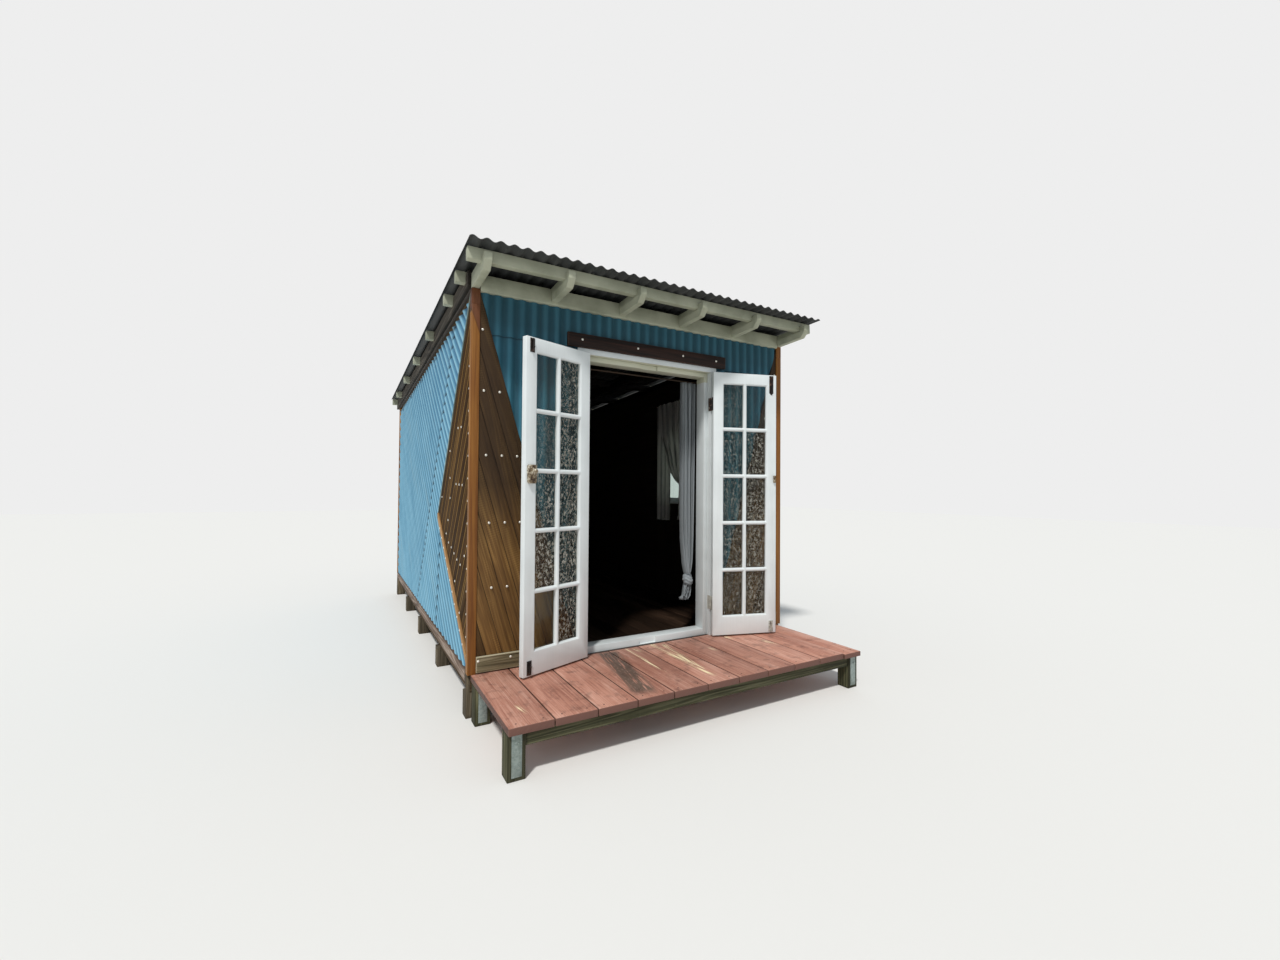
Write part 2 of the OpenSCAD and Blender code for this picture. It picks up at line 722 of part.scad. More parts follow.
// Jambs, head and sill, with planted stops that are recessed in the middle for the bolts
stop_x = door_w / 2 - stop_w;
stop_d = frame_back - stop_y;
module door_frame() color("#e4e6e2") placed() {
    both_sides() {
        translate([-frame_w / 2, -frame_proud, floor_h])
            cube([jamb_face, frame_back + frame_proud, head_z - floor_h]);
        translate([-door_w / 2 + butt, stop_y, floor_h])
            cube([stop_w - butt, stop_d, head_z - floor_h - butt]);
    }
    translate([-frame_w / 2, -frame_proud, head_z + butt])
        cube([frame_w, frame_back + frame_proud, head_face - butt]);
    difference() {
        union() {
            translate([-stop_x + butt, stop_y, head_z - stop_w])
                cube([2 * (stop_x - butt), stop_d, stop_w - butt]);
            translate([-stop_x + butt, stop_y, floor_h]) cube([2 * (stop_x - butt), stop_d, sill_h]);
        }
        for (z = [head_z - stop_w - over, floor_h + leaf_under / 2])
            translate([-keep_x, stop_y - over, z]) cube([2 * keep_x, bolt_d + over, sill_h]);
    }
}

module head_board() color("#3b2016") placed() {
    front = -iron_full - sheet_step - butt - head_board_t;
    translate([-frame_w / 2 - head_board_over, front, frame_top + butt])
        cube([frame_w + 2 * head_board_over, head_board_t, head_board_h]);
}

// One half of a butt hinge about the Z axis; the flap lies against the plane x = edge
module hinge_half(edge, own) {
    knuckles = 5;
    seg = hinge_h / knuckles;
    flap_x = edge > 0 ? edge - flap_t : edge;
    flap_w = leaf_t - knuckle_r - flap_t;
    for (i = own) translate([0, 0, i * seg + fit]) {
        cylinder(r = knuckle_r, h = seg - 2 * fit);
        translate([flap_x, 0, 0]) cube([flap_t, axis_out, seg - 2 * fit]);
    }
    translate([flap_x, axis_out - pin_clear, 0]) cube([flap_t, flap_w, hinge_h]);
}

hinge_zs = [hinge_up, leaf_h - hinge_up - hinge_h];

// The jamb's half of a hinge, with the pin
module jamb_half() {
    hinge_half(-leaf_clear / 2, [0, 2, 4]);
    translate([0, 0, flap_t / 2]) cylinder(r = pin_r, h = hinge_h - flap_t);
}

// The door's half of a hinge, bored for the pin
module leaf_half() difference() {
    hinge_half(leaf_clear / 2, [1, 3]);
    translate([0, 0, -over]) cylinder(r = pin_r + pin_clear, h = hinge_h + 2 * over);
}

module jamb_hinges() color("#4a2f24") placed() both_sides() for (z = hinge_zs)
    translate([-axis_x, axis_y, floor_h + leaf_under + z]) jamb_half();

// A closed left door stands here with its hinge axis on Z; open it turns towards the front
module leaf_place(open) placed()
    translate([-axis_x, axis_y, floor_h + leaf_under]) rotate([0, 0, -open]) children();
module left_place() leaf_place(left_open) children();
module right_place() mirror([1, 0, 0]) leaf_place(right_open) children();

// The door's own frame of reference: its hinge edge, outer face and foot
module in_leaf() translate([leaf_clear / 2, axis_out, 0]) children();

module leaf_panes() for (c = [0:pane_cols - 1], r = [0:pane_rows - 1])
    translate([stile_w + c * (pane_w + bar_w), 0, bottom_rail + r * (pane_h + bar_w)]) children();

// The moulded edge of a pane's opening, a bevel with mitred corners: the part that two wedges share
module pane_bevel() {
    slope = mould_w / mould_d;
    y0 = leaf_t - mould_d - over;
    y1 = leaf_t + over;
    in0 = slope * over;
    out1 = slope * (mould_d + over);
    intersection() {
        translate([0, 0, -out1]) linear_extrude(pane_h + 2 * out1)
            polygon([[in0, y0], [pane_w - in0, y0], [pane_w + out1, y1], [-out1, y1]]);
        across(-out1, pane_w + out1)
            polygon([[y0, in0], [y0, pane_h - in0], [y1, pane_h + out1], [y1, -out1]]);
    }
}

// A door's frame: panes through it, rebated for the glass outside and moulded inside
module leaf_frame() in_leaf() difference() {
    cube([leaf_w, leaf_t, leaf_h]);
    leaf_panes() {
        translate([0, -over, 0]) cube([pane_w, leaf_t + 2 * over, pane_h]);
        translate([-rebate_w, -over, -rebate_w])
            cube([pane_w + 2 * rebate_w, rebate_d + over, pane_h + 2 * rebate_w]);
        pane_bevel();
    }
}

module leaf_glass() in_leaf() leaf_panes()
    translate([-rebate_w + butt, rebate_d - glass_t - fit, -rebate_w + butt])
        cube([pane_w + 2 * (rebate_w - butt), glass_t, pane_h + 2 * (rebate_w - butt)]);

module left_leaf() color("#e9ebe8") left_place() leaf_frame();
module left_leaf_glass() color("#7f9ca0", 0.5) left_place() leaf_glass();
module left_leaf_fittings() color("#2a2624") left_place() leaf_fittings(bolt_h, 0) {
    case_plate(lock_w, lock_h);
    translate([0, lock_t, knob_r]) rotate([-90, 0, 0]) knob();
    translate([0, lock_t, -lock_h / 4]) rotate([-90, 0, 0]) cylinder(r = knob_r / 2, h = flap_t);
    translate([0, -leaf_t, knob_r]) rotate([90, 0, 0]) knob();
}

module right_leaf() color("#e9ebe8") right_place() leaf_frame();
module right_leaf_glass() color("#7f9ca0", 0.5) right_place() leaf_glass();
module right_leaf_fittings() color("#2a2624") right_place() leaf_fittings(long_bolt_h, bolt_w / 2)
    translate([bolt_in - lock_t, 0, 0]) case_plate(lock_t, lock_h / 2);

// The door's halves of the hinges, its bolts, and what stands on the stile at the lock's height.
// The upper bolt's plate comes to a point of height tip.
module leaf_fittings(upper_bolt_h, tip) {
    stile_x = leaf_w - bolt_in;
    for (z = hinge_zs) translate([0, 0, z]) leaf_half();
    in_leaf() translate([stile_x, leaf_t, 0]) {
        translate([0, 0, leaf_h - bolt_edge - upper_bolt_h]) bolt(upper_bolt_h, tip);
        translate([0, 0, bolt_edge + bolt_h]) mirror([0, 0, 1]) bolt(bolt_h, 0);
        translate([0, 0, lock_up - leaf_under]) children();
    }
}

// A surface bolt on the inner face: its plate, its barrel between two staples, and its thumb knob
module bolt(len, tip) {
    half = bolt_w / 2;
    barrel_r = bolt_d / 3;
    staple_h = 2 * flap_t;
    on_front(flap_t, flap_t) polygon([[-half, tip], [0, 0], [half, tip], [half, len], [-half, len]]);
    translate([0, bolt_d - barrel_r - flap_t / 2, tip + flap_t]) {
        cylinder(r = barrel_r, h = len - tip - 2 * flap_t);
        translate([0, 0, len / 3]) rotate([-90, 0, 0]) cylinder(r = barrel_r * 0.8, h = bolt_d);
    }
    for (z = [tip + staple_h, len - 3 * staple_h])
        translate([-barrel_r - flap_t, 0, z]) cube([2 * (barrel_r + flap_t), bolt_d, staple_h]);
}

// A flat case with bevelled corners, lying on the stile with its middle on the Y axis
module case_plate(w, h) {
    cut = w / 8;
    on_front(lock_t, lock_t) polygon([
        [-w / 2 + cut, -h / 2], [w / 2 - cut, -h / 2], [w / 2, -h / 2 + cut], [w / 2, h / 2 - cut],
        [w / 2 - cut, h / 2], [-w / 2 + cut, h / 2], [-w / 2, h / 2 - cut], [-w / 2, -h / 2 + cut]
    ]);
}

// A turned knob on its rose, standing on the XY plane; the profile is drawn for a radius of 16
module knob() rotate_extrude() scale(knob_r / 16) polygon([
    [0, 0], [16, 0], [16, 3], [6, 4], [5, 16], [9, 20], [14, 26], [14, 32], [10, 36], [0, 37]
]);

// The rod over the doorway runs inside, through a block beside each end of the frame; a thinner one
// crosses the window's reveal
rod_y = frame_back + curtain_t;
rod_x = frame_w / 2 + rod_over;
rod_z = floor_h + curtain_top + rod_r + fit;
module curtain_rod() color("#6a5a45") placed() {
    block_w = rod_over / 3;
    block_h = 5 * rod_r;
    translate([-rod_x, rod_y, rod_z]) rotate([0, 90, 0]) cylinder(r = rod_r, h = 2 * rod_x);
    both_sides() translate([rod_x - block_w - butt, wall_t + lining_t, rod_z - block_h / 2])
        cube([block_w, rod_y - wall_t - lining_t + 2 * rod_r, block_h]);
    reveal = window_box_t + butt + fit;
    translate([room_x + 4 * window_rod_r, window_y0 + reveal, window_z1 - reveal - 5 * window_rod_r])
        rotate([-90, 0, 0]) cylinder(r = window_rod_r, h = window_w - 2 * reveal);
}

// The curtain hangs from the rod, drawn to the right and gathered, and is knotted near its foot
module door_curtain() color("#aeb9c2") placed() {
    drop = curtain_l - curtain_w;
    tail = 0.75;
    translate([door_w / 2 - curtain_in, rod_y, floor_h + curtain_top]) mirror([0, 0, 1])
        for (part = [[0, drop - fit, 1], [drop, curtain_w, tail]])
            translate([0, 0, part[0]]) linear_extrude(part[1])
            scale([curtain_w * part[2], curtain_t * part[2]]) circle(d = 1);
}

// The window stands in the right wall; it is drawn on the left one and mirrored
module right_window_frame() color("#e4e6e2") placed() mirror([1, 0, 0]) {
    out_x = -frame_x - iron_full - window_proud;
    box_d = -room_x - out_x;
    w = window_w - 2 * butt;
    translate([out_x, window_y0 + butt, window_z0]) difference() {
        cube([box_d, w, window_h]);
        translate([-over, window_box_t, window_box_t])
            cube([box_d + 2 * over, w - 2 * window_box_t, window_h - 2 * window_box_t]);
    }
    sash_l = w - 2 * window_box_t + 2 * over;
    sash_h = window_h - 2 * window_box_t + 2 * over;
    translate([-frame_x, window_y0 + butt + window_box_t - over, window_z0 + window_box_t - over])
        difference() {
            cube([sash_t, sash_l, sash_h]);
            for (part = [[sash_w, sash_t + over], [sash_w - rebate_w, rebate_d]])
                translate([-over, part[0], part[0]])
                    cube([part[1] + over, sash_l - 2 * part[0], sash_h - 2 * part[0]]);
        }
}

module right_window_glass() color("#7f9ca0", 0.5) placed() mirror([1, 0, 0]) {
    edge = window_box_t - over + sash_w - rebate_w + butt;
    translate([-frame_x + rebate_d - glass_t - fit, window_y0 + butt + edge, window_z0 + edge])
        cube([glass_t, window_w - 2 * butt - 2 * edge, window_h - 2 * edge]);
}

module rafters() color("#c9c9b8") placed() on_slope()
    for (i = [0:rafters_n - 1]) across(-half_w + i * rafter_pitch, -half_w + i * rafter_pitch + rafter_w)
        difference() {
            polygon([
                [-rafter_front, rafter_h], [-rafter_front, rafter_h - rafter_nose],
                [-rafter_front + rafter_h - rafter_nose, 0], [rafter_back, 0], [rafter_back, rafter_h]
            ]);
            for (y = batten_fronts) translate([y - butt / 2, rafter_h - batten_sink])
                square([batten_w + butt, batten_sink + over]);
        }

module battens() color("#cfcfbf") placed() on_slope() for (y = batten_fronts)
    translate([-half_w - batten_out, y, rafter_h - batten_sink])
        cube([body_w + 2 * batten_out, batten_w, batten_h]);

module roof_sheet() color("#3a3d3f") placed() on_slope()
    translate([0, -sheet_front, batten_top]) rotate([-90, 0, 0]) linear_extrude(sheet_end + sheet_front)
        wave(-sheet_w / 2, sheet_w / 2);

// Board under the rafters' tails, notched to let them pass
module eave_board(y) difference() {
    translate([-post_x, y, -eave_board_drop]) cube([2 * post_x, eave_board_t, eave_board_h]);
    for (i = [0:rafters_n - 1])
        translate([-half_w + i * rafter_pitch - butt, y - over, -butt])
            cube([rafter_w + 2 * butt, eave_board_t + 2 * over, rafter_h + over]);
}

module eave_boards() color("#d2d3c4") placed() on_slope() {
    eave_board(-eave_board_t);
    eave_board(body_l / cos(roof_pitch) + eave_board_drop * tan(roof_pitch) + butt);
}

// Boards on the outer faces of the end rafters, let in under the battens
module barge_boards() color("#7b6a5c") placed() on_slope() both_sides()
    across(-half_w - barge_t, -half_w) difference() {
        translate([butt, barge_up]) square([sheet_end - barge_in, barge_h]);
        for (y = batten_fronts) translate([y - butt / 2, rafter_h - batten_sink])
            square([batten_w + butt, rafter_h]);
    }

module deck_boards() color("#b5624a") placed() {
    for (i = [0:deck_boards_n - 1]) translate([deck_x0 + i * board_step, -deck_d, bearer_top])
        cube([deck_board_w, deck_d - butt, deck_board_t]);
    translate([last_board_x, front_y, bearer_top])
        cube([last_board_w, -front_y - butt, deck_board_t - last_board_drop]);
}

module deck_bearers() color("#6c6a45") placed() {
    x0 = deck_x0 + deck_post_s + butt;
    x1 = deck_x1 - deck_post_s - butt;
    for (y = deck_post_ys) translate([x0, y + deck_bearer_in, bearer_top - deck_bearer_h])
        cube([x1 - x0, bearer_w, deck_bearer_h]);
}

module deck_posts() color("#7c7a52") placed() for (x = deck_post_xs, y = deck_post_ys)
    translate([x, y, 0]) cube([deck_post_s, deck_post_s, bearer_top]);

// Steel straps on the fronts of the deck posts, each with a bolt head
module deck_straps() color("#9aa3a6") placed() for (x = deck_post_xs, y = deck_post_ys) {
    face_y = y - strap_t - fit;
    translate([x + (deck_post_s - strap_w) / 2, face_y, strap_up])
        cube([strap_w, strap_t, bearer_top - strap_up - over]);
    translate([x + deck_post_s / 2 + strap_bolt_r, face_y, bearer_top - strap_w]) rotate([90, 0, 0])
        cylinder(r = strap_bolt_r, h = strap_bolt_r);
}

stumps();
floor_bearers();
floor_joists();
floor_boards();
corner_posts();
wall_plates();
wall_studs();
front_lining();
left_lining();
right_lining();
back_lining();
front_iron_upper();
front_iron_lower();
left_iron();
right_iron();
back_iron();
front_fans();
left_fan();
right_fan();
fan_upper_trims();
fan_lower_trims();
front_skirts();
wall_planks();
door_frame();
head_board();
jamb_hinges();
right_window_frame();
right_window_glass();
curtain_rod();
door_curtain();
rafters();
battens();
roof_sheet();
eave_boards();
barge_boards();
deck_boards();
deck_bearers();
deck_posts();
deck_straps();
left_leaf();
left_leaf_glass();
left_leaf_fittings();
right_leaf();
right_leaf_glass();
right_leaf_fittings();
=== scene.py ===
import math
import random

import bmesh
import bpy
from mathutils import Matrix, Vector


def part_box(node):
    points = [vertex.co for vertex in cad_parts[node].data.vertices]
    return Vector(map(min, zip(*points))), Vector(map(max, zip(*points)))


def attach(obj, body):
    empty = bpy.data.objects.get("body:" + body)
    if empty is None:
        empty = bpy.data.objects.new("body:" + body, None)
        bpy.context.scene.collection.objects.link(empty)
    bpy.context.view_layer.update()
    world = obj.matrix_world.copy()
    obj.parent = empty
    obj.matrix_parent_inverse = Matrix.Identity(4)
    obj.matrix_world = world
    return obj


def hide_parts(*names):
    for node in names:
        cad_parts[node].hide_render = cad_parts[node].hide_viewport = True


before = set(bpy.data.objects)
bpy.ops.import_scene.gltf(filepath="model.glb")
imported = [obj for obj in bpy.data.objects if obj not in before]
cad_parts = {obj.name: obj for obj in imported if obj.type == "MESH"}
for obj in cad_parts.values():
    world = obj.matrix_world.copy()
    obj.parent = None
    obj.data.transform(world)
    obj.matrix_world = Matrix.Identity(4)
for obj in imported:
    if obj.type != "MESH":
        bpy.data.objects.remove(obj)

# Garden office pod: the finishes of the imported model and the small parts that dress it.
# Metres; X runs along the front, Y from the doors to the back wall, Z up.

scene = bpy.context.scene
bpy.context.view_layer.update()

# Places that the pieces share, read off the frame
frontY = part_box("floor_boards")[0].y            # front of the wall framing
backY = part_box("floor_boards")[1].y
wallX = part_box("floor_boards")[1].x             # outside of the side framing
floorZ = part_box("floor_boards")[1].z
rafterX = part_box("rafters")[1].x                # outer face of the end rafters
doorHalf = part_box("door_frame")[1].x - 0.05     # half of the doorway, inside its frame
roofPitch = math.radians(2.4)
ironDepth = 0.0172                              # one corrugation with the sheet's thickness

# Camera, floor and light

viewSettings = {
    "place": (-1.9379, -4.9672, 1.3722),
    "yaw": 30.08,          # degrees from +Y towards +X
    "pitch": 0.99,
    "roll": 0.43,
    "lens": 14.633,
    "sensor": 36.0,
}
stageSettings = {
    "floorColour": "#e9e8e4",
    "backgroundColour": "#eeeeee",
    "floorSize": 60.0,
    "worldTint": "#eef4fb",
    "worldLight": 0.50,
    "sunTint": (1.0, 0.985, 0.96),
    "sunLight": 2.5,
    "sunTurn": (34, 0, -45),   # degrees: high, from the front left
    "sunSoftness": 5,          # degrees
}


def linear(hexColour):
    parts = [int(hexColour[i:i + 2], 16) / 255 for i in (1, 3, 5)]
    return tuple(p / 12.92 if p <= 0.04045 else ((p + 0.055) / 1.055) ** 2.4 for p in parts) + (1.0,)


# Adds a node; a kind without "Node" in it is a shader node. Inputs take a value, a hex colour, a
# socket or a node, whose first output is then used
def addNode(tree, kind, inputs=None, ramp=None, **settings):
    node = tree.nodes.new(kind if "Node" in kind else "ShaderNode" + kind)
    for name, value in settings.items():
        setattr(node, name, value)
    for key, value in (inputs or {}).items():
        if isinstance(value, bpy.types.Node):
            value = value.outputs[0]
        if isinstance(value, str) and value.startswith("#"):
            value = linear(value)
        if isinstance(value, bpy.types.NodeSocket):
            tree.links.new(value, node.inputs[key])
        else:
            node.inputs[key].default_value = value
    if ramp:
        stops = node.color_ramp.elements
        while len(stops) < len(ramp):
            stops.new(1.0)
        for stop, (place, colour) in zip(stops, ramp):
            stop.position = place
            stop.color = linear(colour)
    return node


def placeCamera(view):
    camera = bpy.data.cameras.new("photoCamera")
    camera.lens = view["lens"]
    camera.sensor_width = view["sensor"]
    camera.clip_end = 200
    holder = bpy.data.objects.new("photoCamera", camera)
    yaw, pitch, roll = (math.radians(view[k]) for k in ("yaw", "pitch", "roll"))
    ahead = Vector((math.sin(yaw) * math.cos(pitch), math.cos(yaw) * math.cos(pitch), math.sin(pitch)))
    right = Vector((math.cos(yaw), -math.sin(yaw), 0))
    up = right.cross(ahead)
    side = right * math.cos(roll) + up * math.sin(roll)
    top = up * math.cos(roll) - right * math.sin(roll)
    turn = Matrix((side, top, -ahead)).transposed().to_4x4()
    holder.matrix_world = Matrix.Translation(view["place"]) @ turn
    scene.collection.objects.link(holder)
    scene.camera = holder


def lightStage(stage):
    world = bpy.data.worlds.new("softStudio")
    world.use_nodes = True
    tree = world.node_tree
    tree.nodes.clear()
    rays = addNode(tree, "LightPath")
    seen = addNode(tree, "Math", {0: rays.outputs["Is Camera Ray"],
                                  1: rays.outputs["Is Transmission Ray"]}, operation="MAXIMUM")
    light = addNode(tree, "Background", {0: stage["worldTint"], 1: stage["worldLight"]})
    shown = addNode(tree, "Background", {0: stage["backgroundColour"], 1: 1.0})
    both = addNode(tree, "MixShader", {0: seen, 1: light, 2: shown})
    addNode(tree, "OutputWorld", {0: both})
    scene.world = world

    lamp = bpy.data.lights.new("softSun", "SUN")
    lamp.energy = stage["sunLight"]
    lamp.angle = math.radians(stage["sunSoftness"])
    lamp.color = stage["sunTint"]
    holder = bpy.data.objects.new("softSun", lamp)
    holder.rotation_euler = [math.radians(a) for a in stage["sunTurn"]]
    scene.collection.objects.link(holder)

    half = stage["floorSize"] / 2
    mesh = bpy.data.meshes.new("floor")
    mesh.from_pydata([(-half, -half, 0), (half, -half, 0), (half, half, 0), (-half, half, 0)],
                     [], [(0, 1, 2, 3)])
    floor = bpy.data.objects.new("floor", mesh)
    scene.collection.objects.link(floor)
    plain = bpy.data.materials.new("paleFloor")
    plain.use_nodes = True
    shader = plain.node_tree.nodes["Principled BSDF"]
    shader.inputs["Base Color"].default_value = linear(stage["floorColour"])
    shader.inputs["Roughness"].default_value = 0.9
    mesh.materials.append(plain)


placeCamera(viewSettings)
lightStage(stageSettings)
scene.view_settings.view_transform = "Standard"
print("stage: camera, floor and light")

# Mesh helpers


def addPiece(name, mesh, body, material, slot, replaces=()):
    piece = bpy.data.objects.new(name, mesh)
    scene.collection.objects.link(piece)
    mesh.materials.clear()
    mesh.materials.append(material)
    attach(piece, body)
    if replaces:
        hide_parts(*replaces)
    return piece


# A copy of a node's mesh with its triangles joined and its flat faces whole again
def joinedCopy(node):
    mesh = bpy.data.meshes.new(node)
    work = bmesh.new()
    work.from_mesh(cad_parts[node].data)
    bmesh.ops.remove_doubles(work, verts=work.verts, dist=0.00002)
    bmesh.ops.dissolve_limit(work, angle_limit=math.radians(1), verts=work.verts, edges=work.edges)
    work.to_mesh(mesh)
    work.free()
    return mesh


# The object's mesh with its modifiers applied
def shapedMesh(holder):
    graph = bpy.context.evaluated_depsgraph_get()
    return bpy.data.meshes.new_from_object(holder.evaluated_get(graph))


def rounded(mesh, width):
    holder = bpy.data.objects.new("rounding", mesh)
    scene.collection.objects.link(holder)
    edge = holder.modifiers.new("edge", "BEVEL")
    edge.width = width
    edge.segments = 2
    edge.limit_method = "ANGLE"
    edge.angle_limit = math.radians(35)
    edge.use_clamp_overlap = True
    made = shapedMesh(holder)
    bpy.data.objects.remove(holder)
    return made


def islands(work):
    seen = set()
    for start in work.verts:
        if start in seen:
            continue
        found = [start]
        seen.add(start)
        for vert in found:
            for edge in vert.link_edges:
                other = edge.other_vert(vert)
                if other not in seen:
                    seen.add(other)
                    found.append(other)
        yield found


# Gives each board of a mesh its own grain: UV "grain" runs along the board, "near" and "far" hold
# the distances from its two ends and edges, and "tone" is a number of its own. A board runs along
# its longest edge, or along a direction, or along what a function gives for its middle
def markBoards(mesh, seed, along=None):
    chance = random.Random(seed)
    work = bmesh.new()
    work.from_mesh(mesh)
    for layer in ("grain", "near", "far"):
        work.loops.layers.uv.new(layer)
    tone = work.verts.layers.float.new("tone")
    grain, near, far = (work.loops.layers.uv[layer] for layer in ("grain", "near", "far"))
    for board in list(islands(work)):
        faces = list(dict.fromkeys(f for v in board for f in v.link_faces))
        if along is None:
            edges = dict.fromkeys(e for v in board for e in v.link_edges)
            longest = max(edges, key=lambda e: e.calc_length())
            long = longest.verts[1].co - longest.verts[0].co
        elif callable(along):
            long = along(sum((v.co for v in board), Vector()) / len(board))
        else:
            long = along
        long = long.normalized()
        thin = max(faces, key=lambda f: f.calc_area()).normal
        thin = (thin - long * thin.dot(long)).normalized()
        wide = thin.cross(long)
        reach = [(min(v.co.dot(d) for v in board), max(v.co.dot(d) for v in board)) for d in (long, wide)]
        value = chance.random()
        for vert in board:
            vert[tone] = value
        for face in faces:
            for loop in face.loops:
                p = loop.vert.co
                u, v = p.dot(long), p.dot(wide)
                loop[grain].uv = (u, v + p.dot(thin))
                loop[near].uv = (u - reach[0][0], v - reach[1][0])
                loop[far].uv = (reach[0][1] - u, reach[1][1] - v)
    work.to_mesh(mesh)
    work.free()


def smooth(mesh, degrees=38):
    mesh.shade_smooth()
    mesh.set_sharp_from_angle(angle=math.radians(degrees))


# Boards of a node as a piece of their own, with eased edges and grain
def dressBoards(node, name, material, slot, easing, seed, along=None, body="building"):
    mesh = joinedCopy(node)
    if easing:
        mesh = rounded(mesh, easing)
    markBoards(mesh, seed, along)
    smooth(mesh)
    return addPiece(name, mesh, body, material, slot, [node])


# Material helpers


def startMaterial(name):
    material = bpy.data.materials.new(name)
    material.use_nodes = True
    tree = material.node_tree
    tree.nodes.clear()
    shader = addNode(tree, "BsdfPrincipled")
    addNode(tree, "OutputMaterial", {0: shader})
    return material, tree, shader


# Gives the shader its colour, and its own values by name
def setShader(tree, shader, colour, **values):
    tree.links.new(colour if isinstance(colour, bpy.types.NodeSocket) else colour.outputs[0],
                   shader.inputs["Base Color"])
    for name, value in values.items():
        shader.inputs[name.replace("_", " ")].default_value = value


# Puts this shader on the surface in place of the plain one
def showInstead(tree, mixed):
    output = next(n for n in tree.nodes if n.type == "OUTPUT_MATERIAL")
    tree.links.new(mixed.outputs[0], output.inputs[0])


def mixColours(tree, amount, first, second):
    return addNode(tree, "Mix", {0: amount, 6: first, 7: second}, data_type="RGBA").outputs[2]


# A point's place on the object, and the same by axis; "across" is how far it lies from the middle
def pointOn(tree):
    place = addNode(tree, "TexCoord").outputs["Object"]
    x, y, z = addNode(tree, "SeparateXYZ", {0: place}).outputs
    across = addNode(tree, "Math", {0: x}, operation="ABSOLUTE")
    return place, {"x": x, "y": y, "z": z, "across": across}


def combined(tree, operation, masks):
    whole = masks[0]
    for mask in masks[1:]:
        whole = addNode(tree, "Math", {0: whole, 1: mask}, operation=operation)
    return whole


# 1 where each axis is above its lower and below its upper limit; None leaves an end open
def within(tree, axes, limits):
    tests = [addNode(tree, "Math", {0: axes[axis], 1: limit}, operation=test)
             for axis, ends in limits.items()
             for limit, test in zip(ends, ("GREATER_THAN", "LESS_THAN")) if limit is not None]
    return combined(tree, "MULTIPLY", tests)


# A board's figure: how large its parts are along and across the grain, their detail and distortion.
# Fibres are about 7 mm wide, drawn coarser than real ones so that they show
boardNoise = {
    "fibre": (3.0, 140.0, 4.0, 0.0),
    "ring": (0.55, 13.0, 2.0, 0.5),
    "blotch": (1.6, 6.0, 3.0, 0.0),
    "speck": (40.0, 110.0, 2.0, 0.0),
}
ribPitch = 0.014        # of the marks that the saw left across a board


# The parts of that figure by name, with the board's own tone, the saw's ribs, and how far a point
# lies from the board's ends and edges
def boardFigure(tree):
    grain = addNode(tree, "UVMap", uv_map="grain")
    tone = addNode(tree, "Attribute", attribute_name="tone").outputs["Fac"]
    offset = addNode(tree, "Math", {0: tone, 1: 61.0}, operation="MULTIPLY")
    shift = addNode(tree, "CombineXYZ", {0: offset, 2: offset})
    place = addNode(tree, "VectorMath", {0: grain, 1: shift}, operation="ADD")
    parts = {"tone": tone}
    for name, (along, across, detail, distortion) in boardNoise.items():
        spread = addNode(tree, "Mapping", {"Vector": place, "Scale": (along, across, 1.0)})
        parts[name] = addNode(tree, "TexNoise", {"Vector": spread, "Scale": 1.0, "Detail": detail,
                                                 "Roughness": 0.6, "Distortion": distortion})
    bands = addNode(tree, "Math", {0: parts["ring"], 1: 44.0}, operation="MULTIPLY")
    wavy = addNode(tree, "Math", {0: bands}, operation="SINE")
    parts["ring"] = addNode(tree, "MapRange", {0: wavy, 1: -1.0, 2: 1.0})
    near, far = [addNode(tree, "SeparateXYZ", {0: addNode(tree, "UVMap", uv_map=name)}).outputs
                 for name in ("near", "far")]
    for name, axis in (("toEnd", 0), ("toEdge", 1)):
        parts[name] = addNode(tree, "Math", {0: near[axis], 1: far[axis]}, operation="MINIMUM")
    parts["nearEdge"], parts["farEdge"] = near[1], far[1]
    alongIt = addNode(tree, "SeparateXYZ", {0: grain})
    turns = addNode(tree, "Math", {0: alongIt, 1: 2 * math.pi / ribPitch}, operation="MULTIPLY")
    uneven = addNode(tree, "Math", {0: parts["blotch"], 1: 9.0, 2: turns}, operation="MULTIPLY_ADD")
    ribs = addNode(tree, "Math", {0: uneven}, operation="SINE")
    patches = addNode(tree, "MapRange", {0: parts["blotch"], 1: 0.52, 2: 0.64})
    parts["sawn"] = addNode(tree, "Math", {0: ribs, 1: patches}, operation="MULTIPLY")
    return parts


# Wood colour from its figure: dark late wood, mid, pale early wood
def woodColour(tree, parts, colours, depth=0.35, spread=0.3, fibres=1.1, ribs=0.0):
    level = addNode(tree, "Math", {0: parts["ring"], 1: depth, 2: 0.5 - depth / 2},
                    operation="MULTIPLY_ADD")
    fibre = addNode(tree, "Math", {0: parts["fibre"], 1: 0.5}, operation="SUBTRACT")
    level = addNode(tree, "Math", {0: fibre, 1: fibres, 2: level}, operation="MULTIPLY_ADD")
    if ribs:
        level = addNode(tree, "Math", {0: parts["sawn"], 1: ribs, 2: level}, operation="MULTIPLY_ADD")
    blotch = addNode(tree, "Math", {0: parts["blotch"], 1: 0.5}, operation="SUBTRACT")
    level = addNode(tree, "Math", {0: blotch, 1: 0.9, 2: level}, operation="MULTIPLY_ADD")
    late, mid, early = colours
    wood = addNode(tree, "ValToRGB", {0: level}, ramp=[(0.15, late), (0.5, mid), (0.85, early)])
    value = addNode(tree, "MapRange", {0: parts["tone"], 3: 1 - spread, 4: 1 + spread * 0.6})
    return addNode(tree, "HueSaturation", {"Value": value, "Color": wood}).outputs[0]


